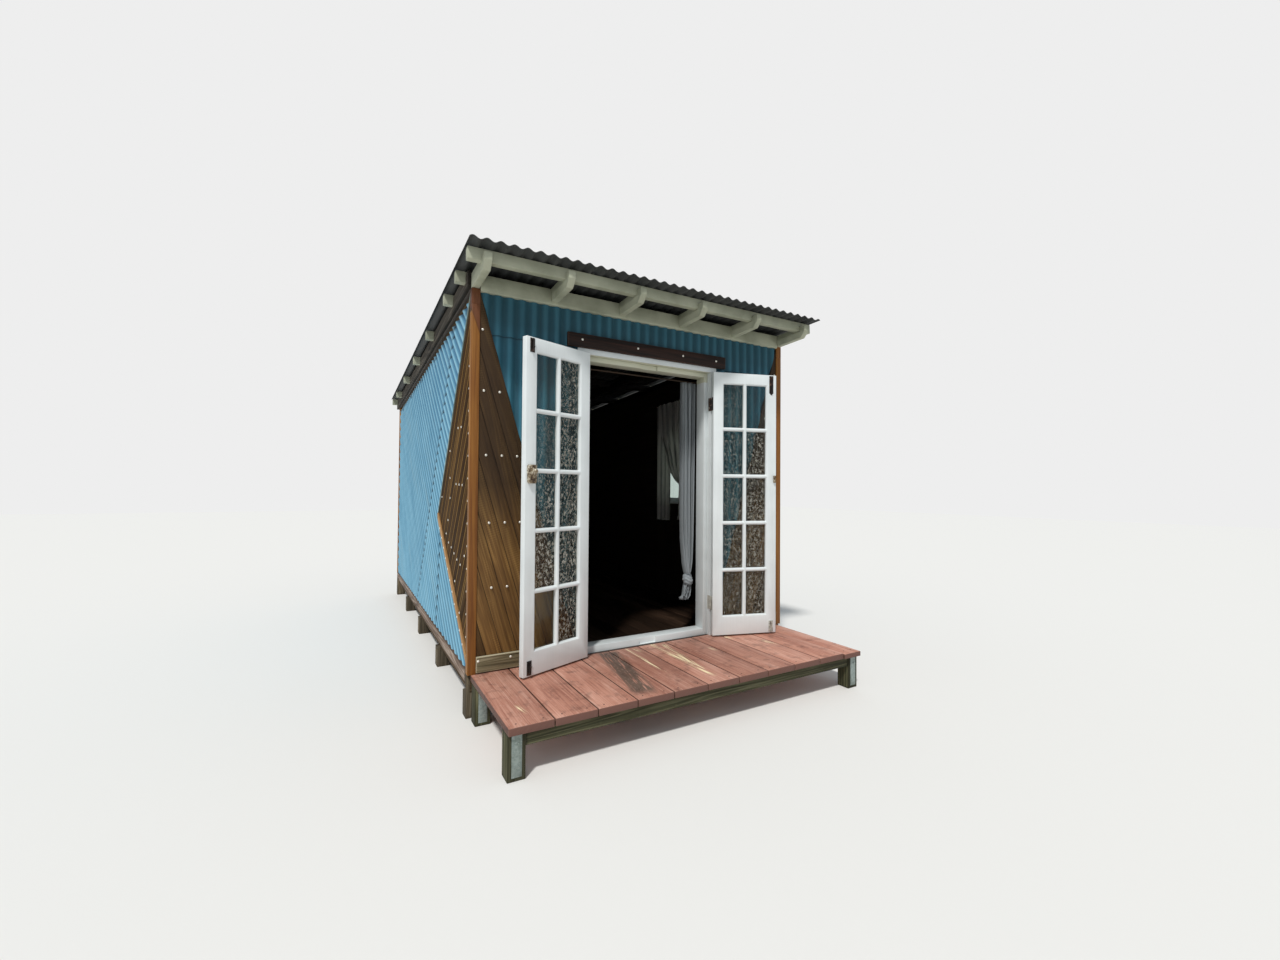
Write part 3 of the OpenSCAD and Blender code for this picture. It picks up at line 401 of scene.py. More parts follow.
# 1 at a board's edge or end, 0 from this distance inwards, broken up by the figure
def edgeMask(tree, distance, reach, noise, broken=0.5):
    near = addNode(tree, "MapRange", {0: distance, 1: 0.0, 2: reach, 3: 1.0, 4: 0.0})
    rough = addNode(tree, "Math", {0: noise, 1: broken, 2: near}, operation="MULTIPLY_ADD")
    return addNode(tree, "MapRange", {0: rough, 1: 0.75, 2: 1.15})


def bumpFrom(tree, shader, height, distance):
    bump = addNode(tree, "Bump", {"Strength": 1.0, "Distance": distance, "Height": height})
    tree.links.new(bump.outputs[0], shader.inputs["Normal"])


# Painted shadows: darker marks below each screw of these rows, down the middle of the boards
def paintedScrewShadows(tree, parts, rows, length):
    off = addNode(tree, "Math", {0: parts["nearEdge"], 1: parts["farEdge"]}, operation="SUBTRACT")
    aside = addNode(tree, "Math", {0: off}, operation="ABSOLUTE")
    middle = addNode(tree, "MapRange", {0: aside, 1: 0.006, 2: 0.016, 3: 1.0, 4: 0.0})
    place, axes = pointOn(tree)
    shadowsBelowScrews = []
    for row in rows:
        below = addNode(tree, "MapRange", {0: axes["z"], 1: row - length, 2: row})
        shadowsBelowScrews.append(combined(tree, "MULTIPLY", [below, within(tree, axes, {"z": (None, row)})]))
    return combined(tree, "MULTIPLY", [combined(tree, "MAXIMUM", shadowsBelowScrews), middle, 0.8])


# Darker above a height, as painted shade of the eave; shade is (start, full, share, colour)
def shadedAbove(tree, colour, shade):
    start, full, share, tint = shade
    place, axes = pointOn(tree)
    amount = addNode(tree, "MapRange", {0: axes["z"], 1: start, 2: full, 4: share})
    return mixColours(tree, amount, colour, tint)


# The front left post is two timbers: a darker one above a long slanting splice with a dark joint
def splicedPost(tree, parts, colour, splice):
    place, axes = pointOn(tree)
    corner = within(tree, axes, {"x": (None, 0.0), "y": (None, 0.0)})
    slant = addNode(tree, "Math", {0: axes["x"], 1: splice["slope"], 2: axes["z"]},
                    operation="MULTIPLY_ADD")
    above = addNode(tree, "MapRange", {0: slant, 1: splice["level"], 2: splice["level"] + 0.01})
    dark = woodColour(tree, parts, splice["colours"], 0.2, 0.1)
    colour = mixColours(tree, combined(tree, "MULTIPLY", [above, corner]), colour, dark)
    off = addNode(tree, "Math", {0: slant, 1: splice["level"]}, operation="SUBTRACT")
    gap = addNode(tree, "Math", {0: off}, operation="ABSOLUTE")
    joint = addNode(tree, "MapRange", {0: gap, 1: 0.004, 2: 0.016, 3: 0.8, 4: 0.0})
    return mixColours(tree, combined(tree, "MULTIPLY", [joint, corner]), colour, splice["joint"])


def finishWood(name, colours, roughness, spread=0.3, depth=0.35, bump=0.0006, edge=None, fibres=1.1,
               ribs=0.0, shadowsBelowScrews=(), shade=None, splice=None, arris=None, specular=0.25):
    material, tree, shader = startMaterial(name)
    parts = boardFigure(tree)
    colour = woodColour(tree, parts, colours, depth, spread, fibres, ribs)
    if shade:
        colour = shadedAbove(tree, colour, shade)
    if splice:
        colour = splicedPost(tree, parts, colour, splice)
    if edge:
        worn = combined(tree, "MAXIMUM", [
            edgeMask(tree, parts["toEdge"], edge["reach"], parts["speck"], edge["broken"]),
            edgeMask(tree, parts["toEnd"], edge["endReach"], parts["fibre"])])
        amount = combined(tree, "MULTIPLY", [worn, edge["amount"]])
        colour = mixColours(tree, amount, colour, edge["colour"])
    # a painted highlight along one arris of each board
    if arris:
        line = addNode(tree, "MapRange", {0: parts["nearEdge"], 1: 0.010, 2: 0.024, 3: 1.0, 4: 0.0})
        begun = addNode(tree, "MapRange", {0: parts["nearEdge"], 1: 0.006, 2: 0.010})
        paleMarks = combined(tree, "MULTIPLY", [line, begun, arris["share"]])
        colour = mixColours(tree, paleMarks, colour, arris["colour"])
    # painted shadows below the screws
    if shadowsBelowScrews:
        colour = mixColours(tree, paintedScrewShadows(tree, parts, shadowsBelowScrews, 0.045), colour, colours[0])
    height = addNode(tree, "Math", {0: parts["fibre"], 1: 0.7, 2: parts["ring"]},
                     operation="MULTIPLY_ADD")
    bumpFrom(tree, shader, height, bump)
    setShader(tree, shader, colour, Roughness=roughness, Specular_IOR_Level=specular)
    return material


# Old paint on timber: it yellows and greys in blotches, chips along the edges and shows wood there.
# Each patch differs from the rest: it has its limits, its colour and its share
def finishPaint(name, paint, dirt, wood, chips, grime, roughness, patches=()):
    material, tree, shader = startMaterial(name)
    parts = boardFigure(tree)
    place, axes = pointOn(tree)
    cloud = addNode(tree, "TexNoise", {"Vector": place, "Scale": 5.0, "Detail": 6.0})
    dirty = addNode(tree, "MapRange", {0: cloud, 1: 0.42, 2: 0.75, 4: grime})
    colour = mixColours(tree, dirty, paint, dirt)
    brush = addNode(tree, "MapRange", {0: parts["fibre"], 3: 0.93, 4: 1.05})
    colour = addNode(tree, "HueSaturation", {"Value": brush, "Color": colour})
    flake = addNode(tree, "TexNoise", {"Vector": place, "Scale": 55.0, "Detail": 5.0, "Roughness": 0.7})
    near = addNode(tree, "MapRange", {0: parts["toEdge"], 1: 0.0, 2: 0.008, 3: 0.12, 4: 0.0})
    edge = addNode(tree, "Math", {0: flake, 1: near}, operation="ADD")
    chip = addNode(tree, "MapRange", {0: edge, 1: 0.84 - 0.12 * chips, 2: 0.87 - 0.12 * chips})
    colour = mixColours(tree, chip, colour, wood)
    for patch in patches:
        amount = combined(tree, "MULTIPLY", [within(tree, axes, patch["limits"]), patch["share"]])
        colour = mixColours(tree, amount, colour, patch["colour"])
    height = addNode(tree, "Math", {0: chip, 1: -1.0, 2: parts["fibre"]}, operation="MULTIPLY_ADD")
    bumpFrom(tree, shader, height, 0.0005)
    setShader(tree, shader, colour, Roughness=roughness)
    return material


print("helpers ready")

# Painted corrugated iron: brush paint on old galvanised sheet, faded and chalky. The depth of the
# corrugations sets pale crests, partly rubbed paint and partly a painted highlight, and dark troughs of
# painted shade, and the lap of one sheet over the next shows as a scalloped line of painted shadow and dirt
ironSettings = {
    "teal": {"paint": "#2e6377", "pale": "#478398", "deep": "#17414f", "dirt": "#2b3b3a",
             "rust": "#5f4431", "troughShade": 0.5},
    "blue": {"paint": "#568da8", "pale": "#92c6db", "deep": "#37698a", "dirt": "#5f7278",
             "rust": "#7b5a41", "troughShade": 0.85},
    "roof": {"paint": "#3b3d3d", "pale": "#585a59", "deep": "#232424", "dirt": "#2c2a27",
             "rust": "#4b382d", "troughShade": 0.0},
    "lapShade": "#10242f",
    # painted shade of the eave at the top of the front iron, tinted green as painted reflected light
    "underEave": (2.24, 2.40, 0.5, "#14343a"),      # start, full, share, colour
    "lapWidth": 0.05,
    "rake": (0.787, 0.617),              # of the side walls' corrugations, back and up
    "sideLaps": [                        # start (y, z) from the front, turn about X, length
        ((0.309, 2.792), -51.9, 3.3),
        ((1.255, 0.0), 100.9, 1.07),
    ],
    "frontLap": 2.309,
    "frontLapReach": 0.014,
}


# Scalloped painted shade below a lap: start and turn set a frame whose Z runs away from the upper sheet
def lapShadow(tree, place, start, turn, length, width):
    frameOf = addNode(tree, "Mapping", {"Vector": place, "Location": start,
                                        "Rotation": (math.radians(turn), 0, 0)}, vector_type="TEXTURE")
    aside, along, down = addNode(tree, "SeparateXYZ", {0: frameOf}).outputs
    below = addNode(tree, "MapRange", {0: down, 1: 0.0, 2: width, 3: 1.0, 4: 0.2})
    inside = within(tree, {"down": down, "along": along}, {"down": (0.0, width), "along": (0.0, length)})
    return combined(tree, "MULTIPLY", [below, inside])


# depthAxis is the axis that the corrugations stand on, face their trough and crest along it, and
# run the way they run
def paintedIron(name, tints, depthAxis, face, run, laps=(), seam=None, rough=0.55):
    material, tree, shader = startMaterial(name)
    place, axes = pointOn(tree)
    depth = addNode(tree, "Math", {0: axes[depthAxis]}, operation="ABSOLUTE")
    crest = addNode(tree, "MapRange", {0: depth, 1: face[0], 2: face[1]})
    cloud = addNode(tree, "TexNoise", {"Vector": place, "Scale": 2.6, "Detail": 7.0, "Roughness": 0.62})
    along = addNode(tree, "VectorMath", {0: place, 1: run}, operation="DOT_PRODUCT")
    drawn = addNode(tree, "VectorMath", {0: run, "Scale": along.outputs["Value"]}, operation="SCALE")
    crosswise = addNode(tree, "VectorMath", {0: place, 1: drawn}, operation="SUBTRACT")
    wide = addNode(tree, "VectorMath", {0: crosswise, "Scale": 26.0}, operation="SCALE")
    long = addNode(tree, "VectorMath", {0: drawn, 1: (1.3, 1.3, 1.3), 2: wide}, operation="MULTIPLY_ADD")
    streak = addNode(tree, "TexNoise", {"Vector": long, "Scale": 1.0, "Detail": 4.0})
    base = addNode(tree, "MapRange", {0: cloud, 1: 0.3, 2: 0.72})
    colour = mixColours(tree, base, tints["paint"], tints["pale"])
    faded = addNode(tree, "Math", {0: base, 1: 0.45}, operation="MULTIPLY")
    colour = mixColours(tree, faded, tints["paint"], colour)
    # pale crests: partly rubbed paint, partly a painted highlight
    crestWearAndHighlight = addNode(tree, "Math", {0: streak, 1: 0.8, 2: crest}, operation="MULTIPLY_ADD")
    pale = addNode(tree, "MapRange", {0: crestWearAndHighlight, 1: 1.0, 2: 1.5, 4: 0.85})
    colour = mixColours(tree, pale, colour, tints["pale"])
    # darker troughs: painted shade
    troughShade = addNode(tree, "MapRange", {0: crest, 1: 0.25, 2: 0.82, 3: tints["troughShade"], 4: 0.0})
    colour = mixColours(tree, troughShade, colour, tints["deep"])
    grime = addNode(tree, "MapRange", {0: streak, 1: 0.55, 2: 0.78, 4: 0.35})
    colour = mixColours(tree, grime, colour, tints["dirt"])
    flake = addNode(tree, "TexNoise", {"Vector": place, "Scale": 38.0, "Detail": 6.0, "Roughness": 0.7})
    spot = addNode(tree, "Math", {0: cloud, 1: 0.35, 2: flake}, operation="MULTIPLY_ADD")
    rust = addNode(tree, "MapRange", {0: spot, 1: 0.895, 2: 0.95, 4: 0.7})
    colour = mixColours(tree, rust, colour, tints["rust"])
    for start, turn, length in laps:
        # painted shadow below each lap, with some dirt
        shade = lapShadow(tree, place, start, turn, length, ironSettings["lapWidth"])
        scallop = addNode(tree, "MapRange", {0: crest, 1: 0.5, 2: 0.98, 3: 1.0, 4: 0.42})
        amount = combined(tree, "MULTIPLY", [shade, scallop])
        colour = mixColours(tree, amount, colour, ironSettings["lapShade"])
    if seam:
        # a painted shadow below the front lap
        reach = ironSettings["frontLapReach"]
        under = addNode(tree, "MapRange", {0: axes["z"], 1: seam - reach, 2: seam, 4: 0.85})
        amount = combined(tree, "MULTIPLY", [under, within(tree, axes, {"z": (None, seam)})])
        colour = mixColours(tree, amount, colour, ironSettings["lapShade"])
        # painted shade of the eave at the top of the sheet, tinted green as painted reflected light
        colour = shadedAbove(tree, colour, ironSettings["underEave"])
    bumpFrom(tree, shader, flake, 0.0004)
    setShader(tree, shader, colour, Roughness=rough, Specular_IOR_Level=0.3)
    return material


frontFace = (-frontY, -frontY + ironDepth)
sideFace = (wallX, wallX + ironDepth)
backFace = (backY, backY + ironDepth)
upward = (0.0, 0.0, 1.0)
raked = (0.0,) + ironSettings["rake"]
sideLaps = [((0, frontY + y, z), turn, length) for (y, z), turn, length in ironSettings["sideLaps"]]
tealFront = paintedIron("tealPaintedIron", ironSettings["teal"], "y", frontFace, upward,
                        seam=ironSettings["frontLap"])
blueSide = paintedIron("bluePaintedIron", ironSettings["blue"], "x", sideFace, raked, sideLaps)
blueBack = paintedIron("bluePaintedIronBehind", ironSettings["blue"], "y", backFace, upward)
ironWalls = [
    ("front_iron_upper", "frontIronUpper", tealFront, "teal_iron"),
    ("front_iron_lower", "frontIronLower", tealFront, "teal_iron"),
    ("left_iron", "leftIron", blueSide, "blue_iron"),
    ("right_iron", "rightIron", blueSide, "blue_iron"),
    ("back_iron", "backIron", blueBack, "blue_iron"),
]
for node, name, material, slot in ironWalls:
    mesh = joinedCopy(node)
    smooth(mesh)
    addPiece(name, mesh, "building", material, slot, [node])
print("iron walls dressed")

# Geometry Nodes helpers


# A tree that takes a geometry, these inputs by name and kind, and a material
def startTree(name, inputs):
    tree = bpy.data.node_groups.new(name, "GeometryNodeTree")
    for socket, kind in [("Geometry", "Geometry")] + inputs + [("Material", "Material")]:
        tree.interface.new_socket(socket, in_out="INPUT", socket_type="NodeSocket" + kind)
    tree.interface.new_socket("Geometry", in_out="OUTPUT", socket_type="NodeSocketGeometry")
    return tree, addNode(tree, "NodeGroupInput").outputs


def joinParts(tree, parts):
    whole = addNode(tree, "GeometryNodeJoinGeometry")
    for part in parts:
        tree.links.new(part.outputs[0], whole.inputs[0])
    return whole


def finishTree(tree, geometry, material):
    real = addNode(tree, "GeometryNodeRealizeInstances", {0: geometry})
    finished = addNode(tree, "GeometryNodeSetMaterial", {"Geometry": real, "Material": material})
    addNode(tree, "NodeGroupOutput", {0: finished})


# Runs a tree on a mesh with its named inputs and returns the result as a plain mesh
def grow(tree, mesh, **inputs):
    holder = bpy.data.objects.new("grown", mesh)
    scene.collection.objects.link(holder)
    making = holder.modifiers.new("making", "NODES")
    making.node_group = tree
    for socket in tree.interface.items_tree:
        if socket.in_out == "INPUT" and socket.name in inputs:
            making[socket.identifier] = inputs[socket.name]
    made = shapedMesh(holder)
    bpy.data.objects.remove(holder)
    return made


# Roof sheet: a wave drawn along the fall of the roof. The roof's iron is bare of fresh paint, dark
# and dull, with no light crests

roofSettings = {
    "pitch": 0.0762,
    "depth": 0.016,
    "thickness": 0.0012,
    "steps": 12,        # faces to a corrugation
}


def corrugatedTree():
    sizes = [(name, "Float") for name in ("Width", "Length", "Pitch", "Depth", "Thickness")]
    tree, given = startTree("corrugatedSheet", sizes + [("Columns", "Int")])
    sheet = addNode(tree, "GeometryNodeMeshGrid", {"Size X": given["Width"], "Size Y": given["Length"],
                                                   "Vertices X": given["Columns"], "Vertices Y": 9})
    place = addNode(tree, "SeparateXYZ", {0: addNode(tree, "GeometryNodeInputPosition")})
    turns = addNode(tree, "Math", {0: place, 1: given["Pitch"]}, operation="DIVIDE")
    angle = addNode(tree, "Math", {0: turns, 1: 2 * math.pi}, operation="MULTIPLY")
    cosine = addNode(tree, "Math", {0: angle}, operation="COSINE")
    rise = addNode(tree, "Math", {0: 1.0, 1: cosine}, operation="SUBTRACT")
    half = addNode(tree, "Math", {0: given["Depth"], 1: 0.5}, operation="MULTIPLY")
    height = addNode(tree, "Math", {0: rise, 1: half}, operation="MULTIPLY")
    lift = addNode(tree, "CombineXYZ", {2: height})
    waved = addNode(tree, "GeometryNodeSetPosition", {"Geometry": sheet, "Offset": lift})
    up = addNode(tree, "CombineXYZ", {2: given["Thickness"]})
    top = addNode(tree, "GeometryNodeExtrudeMesh", {"Mesh": waved, "Offset": up, "Offset Scale": 1.0,
                                                    "Individual": False})
    below = addNode(tree, "GeometryNodeFlipFaces", {0: waved})
    both = joinParts(tree, [top, below])
    merged = addNode(tree, "GeometryNodeMergeByDistance", {"Geometry": both, "Distance": 0.00001})
    finishTree(tree, merged, given["Material"])
    return tree


def dressRoof(settings):
    low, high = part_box("roof_sheet")
    width = high.x - low.x
    rise = settings["depth"] + settings["thickness"]
    length = (high.y - low.y - rise * math.sin(roofPitch)) / math.cos(roofPitch)
    columns = round(width / settings["pitch"] * settings["steps"]) + 1
    noCrest = (98.0, 99.0)      # far outside the sheet, so that none of it is rubbed pale
    roofIron = paintedIron("weatheredRoofIron", ironSettings["roof"], "x", noCrest, (0, 1, 0), rough=0.6)
    mesh = grow(corrugatedTree(), bpy.data.meshes.new("start"), Width=width, Length=length,
                Pitch=settings["pitch"], Depth=settings["depth"], Thickness=settings["thickness"],
                Columns=columns, Material=roofIron)
    turn = Matrix.Rotation(-roofPitch, 4, "X")
    front = Vector((0, low.y, high.z - rise * math.cos(roofPitch)))
    mesh.transform(Matrix.Translation(front) @ turn @ Matrix.Translation((0, length / 2, 0)))
    smooth(mesh)
    return addPiece("roofIron", mesh, "building", roofIron, "roof_iron", ["roof_sheet"])


dressRoof(roofSettings)
print("roof sheet drawn")

# Woodwork


def edgeWear(colour, reach, endReach, amount, broken=0.5):
    return {"colour": colour, "reach": reach, "endReach": endReach, "amount": amount, "broken": broken}


fanEdge = edgeWear("#120c08", 0.007, 0.008, 1.0, 0.1)
frontScrewRows = (2.33, 1.96, 1.57, 1.16, 0.767)      # heights of the screw rows on the front fans

# Each timber by how it was made: the colours of its late, middle and early wood, and its wear
timbers = {
    # oil over planed pine: a warm orange with a soft gloss, darker above the splice
    "orangeOiledPine": {
        "colours": ("#774a17", "#a06a27", "#bc8538"), "roughness": 0.5, "spread": 0.12,
        "edge": edgeWear("#6b4022", 0.006, 0.02, 0.6),
        "splice": {"colours": ("#43281b", "#5f3b2a", "#7a5140"), "joint": "#1f130c", "slope": 2.8,
                   "level": -1.10}},
    # oiled long ago and dulled by the sun: every board has its own brown, and one arris lighter as a
    # painted highlight
    "oiledHardwoodBoards": {
        "colours": ("#2c1d0e", "#4e361b", "#7a5c32"), "roughness": 0.85, "spread": 0.42, "depth": 0.18,
        "edge": fanEdge, "fibres": 0.7, "ribs": 0.08, "arris": {"colour": "#b08a50", "share": 0.65},
        "specular": 0.1},
    # the same boards at the front: glossier, with painted shadows below their screws and painted shade of
    # the eave above
    "oiledHardwoodWithScrewShadows": {
        "colours": ("#3a2611", "#674a27", "#92703f"), "roughness": 0.6, "spread": 0.5, "depth": 0.15,
        "edge": fanEdge, "fibres": 0.5, "ribs": 0.08, "shadowsBelowScrews": frontScrewRows,
        "shade": (0.95, 1.4, 0.75, "#21170e")},
    # a stain that is nearly black, worn through to brown at the edges
    "darkStainedHardwood": {
        "colours": ("#120905", "#22130c", "#362017"), "roughness": 0.55,
        "edge": edgeWear("#453024", 0.006, 0.02, 0.7)},
    # bare boards left to the weather: grey, dry and matt
    "weatheredTreatedPine": {
        "colours": ("#56503c", "#7b7358", "#9c947a"), "roughness": 0.75, "spread": 0.12,
        "edge": edgeWear("#c7bfa6", 0.008, 0.015, 0.6)},
    "weatheredPlank": {
        "colours": ("#4f4137", "#7c6a5d", "#a39588"), "roughness": 0.8,
        "edge": edgeWear("#463a31", 0.01, 0.05, 0.7)},
    "weatheredBargeBoard": {
        "colours": ("#37332d", "#5a5349", "#837b6e"), "roughness": 0.8, "bump": 0.0012,
        "edge": edgeWear("#25221d", 0.012, 0.05, 0.8)},
    # planed and lightly oiled, pale where it is handled
    "wornTanBatten": {
        "colours": ("#8d6537", "#bb8d56", "#d9b380"), "roughness": 0.6, "spread": 0.1,
        "edge": edgeWear("#76532f", 0.005, 0.03, 0.6)},
    # thin paint faded to a green grey
    "weatheredGreyTrim": {
        "colours": ("#4e5a52", "#77837a", "#9aa59b"), "roughness": 0.55, "spread": 0.08,
        "edge": edgeWear("#3c453f", 0.005, 0.03, 0.7)},
    # rough from the saw, and green brown from the preservative
    "sawnStump": {
        "colours": ("#443c2f", "#675c49", "#867a65"), "roughness": 0.85, "bump": 0.0015,
        "edge": edgeWear("#312b22", 0.01, 0.05, 0.6)},
    "greenTreatedPine": {
        "colours": ("#323220", "#4f4e37", "#716f55"), "roughness": 0.8, "bump": 0.0012,
        "edge": edgeWear("#252418", 0.01, 0.03, 0.6)},
    # framing that no one finished, dull brown, kept dark as painted shade where it shows above the side
    # iron
    "roughSawnPine": {"colours": ("#3d3122", "#56452f", "#6e5a40"), "roughness": 0.85},
    # dark varnish that still shines a little, darkened further as painted shade of the room
    "varnishedFloorInShade": {"colours": ("#211812", "#35271e", "#48372b"), "roughness": 0.4, "spread": 0.15},
    # nearly black as painted shade, so that the room reads as dark
    "paintedShadeLining": {"colours": ("#15110e", "#231c17", "#302822"), "roughness": 0.7, "spread": 0.05},
    # turned and waxed
    "turnedRod": {"colours": ("#1e1711", "#2d231a", "#3d3024"), "roughness": 0.5},
}
paints = {
    # outdoor oil paint gone chalky, with mildew; the roof's timbers are near black inside the room as
    # painted shade, and the end rafters are bare above the side walls and darkened there as painted shade
    # below the barge boards
    "creamPaintedTimber": {
        "paint": "#acaf99", "dirt": "#797d68", "wood": "#6d6858", "chips": 0.5, "grime": 0.75,
        "roughness": 0.6,
        "patches": [{"colour": "#171310", "share": 1.0,
                     "limits": {"across": (None, wallX - 0.005), "y": (frontY + 0.09, backY - 0.09)}},
                    {"colour": "#3f3831", "share": 1.0,
                     "limits": {"across": (rafterX - 0.03, rafterX + 0.001), "y": (frontY, None)}}]},
    # white gloss, brushed and a little soiled; a yellow band in the head's rebate is painted light, bounced
    # up from the deck
    "whitePaintedTimber": {
        "paint": "#d5dbdb", "dirt": "#b6bbb8", "wood": "#8a7660", "chips": 0.2, "grime": 0.35,
        "roughness": 0.4,
        "patches": [{"colour": "#bdbb93", "share": 0.6,
                     "limits": {"across": (None, doorHalf), "z": (2.20, None),
                                "y": (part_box("door_frame")[0].y + 0.004, None)}}]},
    # the newest coat: smooth, with a clean shine
    "whiteGlossDoor": {
        "paint": "#e2e8e8", "dirt": "#c0c6c5", "wood": "#7d6b55", "chips": 0.25, "grime": 0.3,
        "roughness": 0.32},
}
finishes = {name: finishWood(name, **timber) for name, timber in timbers.items()}
finishes.update((name, finishPaint(name, **paint)) for name, paint in paints.items())

# The ways that boards run, where it isn't along their longest edge
upright = Vector((0, 0, 1))
alongFront = Vector((1, 0, 0))
alongDepth = Vector((0, 1, 0))
alongSlope = Vector((0, 1, -math.tan(roofPitch)))
alongSideFan = Vector((0, 1.1215, -1.4318))      # the fan's upper edge, back and down


# The front fans' upper edges fall away from both corners
def alongFrontFan(middle):
    return Vector((math.copysign(0.637, -middle.x), 0, -2.191))


# Node, piece, finish, slot, easing of the edges, seed of the boards' tones, and their way
woodwork = [
    ("corner_posts", "cornerPosts", "orangeOiledPine", "orange_stain", 0.002, 3, upright),
    ("front_fans", "frontFans", "oiledHardwoodWithScrewShadows", "brown_boards", 0.0015, 5, alongFrontFan),
    ("left_fan", "leftFan", "oiledHardwoodBoards", "brown_boards", 0.0015, 7, alongSideFan),
    ("right_fan", "rightFan", "oiledHardwoodBoards", "brown_boards", 0.0015, 11, alongSideFan),
    ("fan_upper_trims", "fanUpperTrims", "weatheredGreyTrim", "grey_trim", 0.0015, 13, None),
    ("fan_lower_trims", "fanLowerTrims", "wornTanBatten", "tan_batten", 0.0015, 17, None),
    ("front_skirts", "frontSkirts", "weatheredTreatedPine", "weathered_plank", 0.002, 19, alongFront),
    ("wall_planks", "wallPlanks", "weatheredPlank", "weathered_plank", 0.003, 23, None),
    ("head_board", "headBoard", "darkStainedHardwood", "red_brown_board", 0.002, 29, None),
    ("rafters", "rafterTails", "creamPaintedTimber", "cream_paint", 0.003, 31, alongSlope),
    ("battens", "roofBattens", "creamPaintedTimber", "cream_paint", 0.002, 37, None),
    ("eave_boards", "eaveBoards", "creamPaintedTimber", "cream_paint", 0.002, 41, alongFront),
    ("barge_boards", "bargeBoards", "weatheredBargeBoard", "weathered_plank", 0.003, 43, alongSlope),
    ("deck_bearers", "deckBearers", "greenTreatedPine", "treated_pine", 0.003, 47, None),
    ("deck_posts", "deckPosts", "greenTreatedPine", "treated_pine", 0.004, 53, upright),
    ("stumps", "sawnStumps", "sawnStump", "sawn_stump", 0.004, 59, upright),
    ("floor_bearers", "floorBearers", "roughSawnPine", "rough_timber", 0.002, 61, None),
    ("floor_joists", "floorJoists", "roughSawnPine", "rough_timber", 0, 67, None),
    ("floor_boards", "floorBoards", "varnishedFloorInShade", "floor_board", 0, 71, alongDepth),
    ("wall_plates", "wallPlates", "roughSawnPine", "rough_timber", 0, 73, None),
    ("wall_studs", "wallStuds", "roughSawnPine", "rough_timber", 0, 79, None),
    ("front_lining", "frontLining", "paintedShadeLining", "dark_lining", 0, 83, None),
    ("left_lining", "leftLining", "paintedShadeLining", "dark_lining", 0, 83, None),
    ("right_lining", "rightLining", "paintedShadeLining", "dark_lining", 0, 83, None),
    ("back_lining", "backLining", "paintedShadeLining", "dark_lining", 0, 83, None),
    ("door_frame", "doorFrame", "whitePaintedTimber", "white_paint", 0.002, 89, None),
    ("right_window_frame", "windowFrame", "whitePaintedTimber", "white_paint", 0.0015, 97, upright),
    ("curtain_rod", "curtainRods", "turnedRod", "rod_wood", 0, 101, alongFront),
]
for node, name, finish, slot, easing, seed, along in woodwork:
    dressBoards(node, name, finishes[finish], slot, easing, seed, along)
print("woodwork dressed")

# Deck: sawn planks with a worn red brown stain, matt and pale where feet rub it, a plank worn grey
# where it is trodden most, and scrapes. A band is (start, end, half width) in x and y

deckSettings = {
    "easing": 0.004,
    "seed": 103,
    "colours": ("#8a5443", "#b8826e", "#d6a895"),
    "joint": "#331e18",
    "end": "#7a5b50",
    "cut": "#6b473c",
    "paleMarks": "#c9a092",
    "grey": "#47443b",
    "scrape": "#f4e2b8",
    "worn": [((-0.335, frontY + 0.01), (-0.475, frontY - 0.78), 0.085)],
    "scrapes": [((0.018, frontY + 0.03), (0.034, frontY - 0.74), 0.028),
                ((0.095, frontY - 0.03), (0.030, frontY - 0.58), 0.026),
                ((-0.150, frontY - 0.02), (-0.120, frontY - 0.14), 0.016),
                ((-0.188, frontY + 0.01), (-0.203, frontY - 0.61), 0.012),
                ((-1.136, frontY - 0.56), (-1.115, frontY - 0.70), 0.013),
                ((0.600, frontY - 0.08), (0.640, frontY - 0.20), 0.025),
                ((0.330, frontY - 0.25), (0.345, frontY - 0.36), 0.018),
                ((0.790, frontY - 0.30), (0.820, frontY - 0.46), 0.020)],
}


# A soft-edged band on the deck with streaks that run along it; thin says how fine they are
def bandMask(tree, place, band, thin, least):
    start, end, half = band
    run = Vector(end) - Vector(start)
    frameOf = addNode(tree, "Mapping", {"Vector": place, "Location": (*start, 0),
                                        "Rotation": (0, 0, math.atan2(run.y, run.x))},
                      vector_type="TEXTURE")
    along, across, up = addNode(tree, "SeparateXYZ", {0: frameOf}).outputs
    aside = addNode(tree, "Math", {0: across}, operation="ABSOLUTE")
    inside = addNode(tree, "MapRange", {0: aside, 1: half * 0.6, 2: half, 3: 1.0, 4: 0.0})
    begun = addNode(tree, "MapRange", {0: along, 1: 0.0, 2: 0.05})
    ended = addNode(tree, "MapRange", {0: along, 1: run.length - 0.08, 2: run.length, 3: 1.0, 4: 0.0})
    fine = addNode(tree, "Mapping", {"Vector": frameOf, "Scale": (4.0, thin, 0.0)})
    lines = addNode(tree, "TexNoise", {"Vector": fine, "Scale": 1.0, "Detail": 2.0})
    streaks = addNode(tree, "MapRange", {0: lines, 1: least, 2: least + 0.06})
    return combined(tree, "MULTIPLY", [inside, begun, ended, streaks])


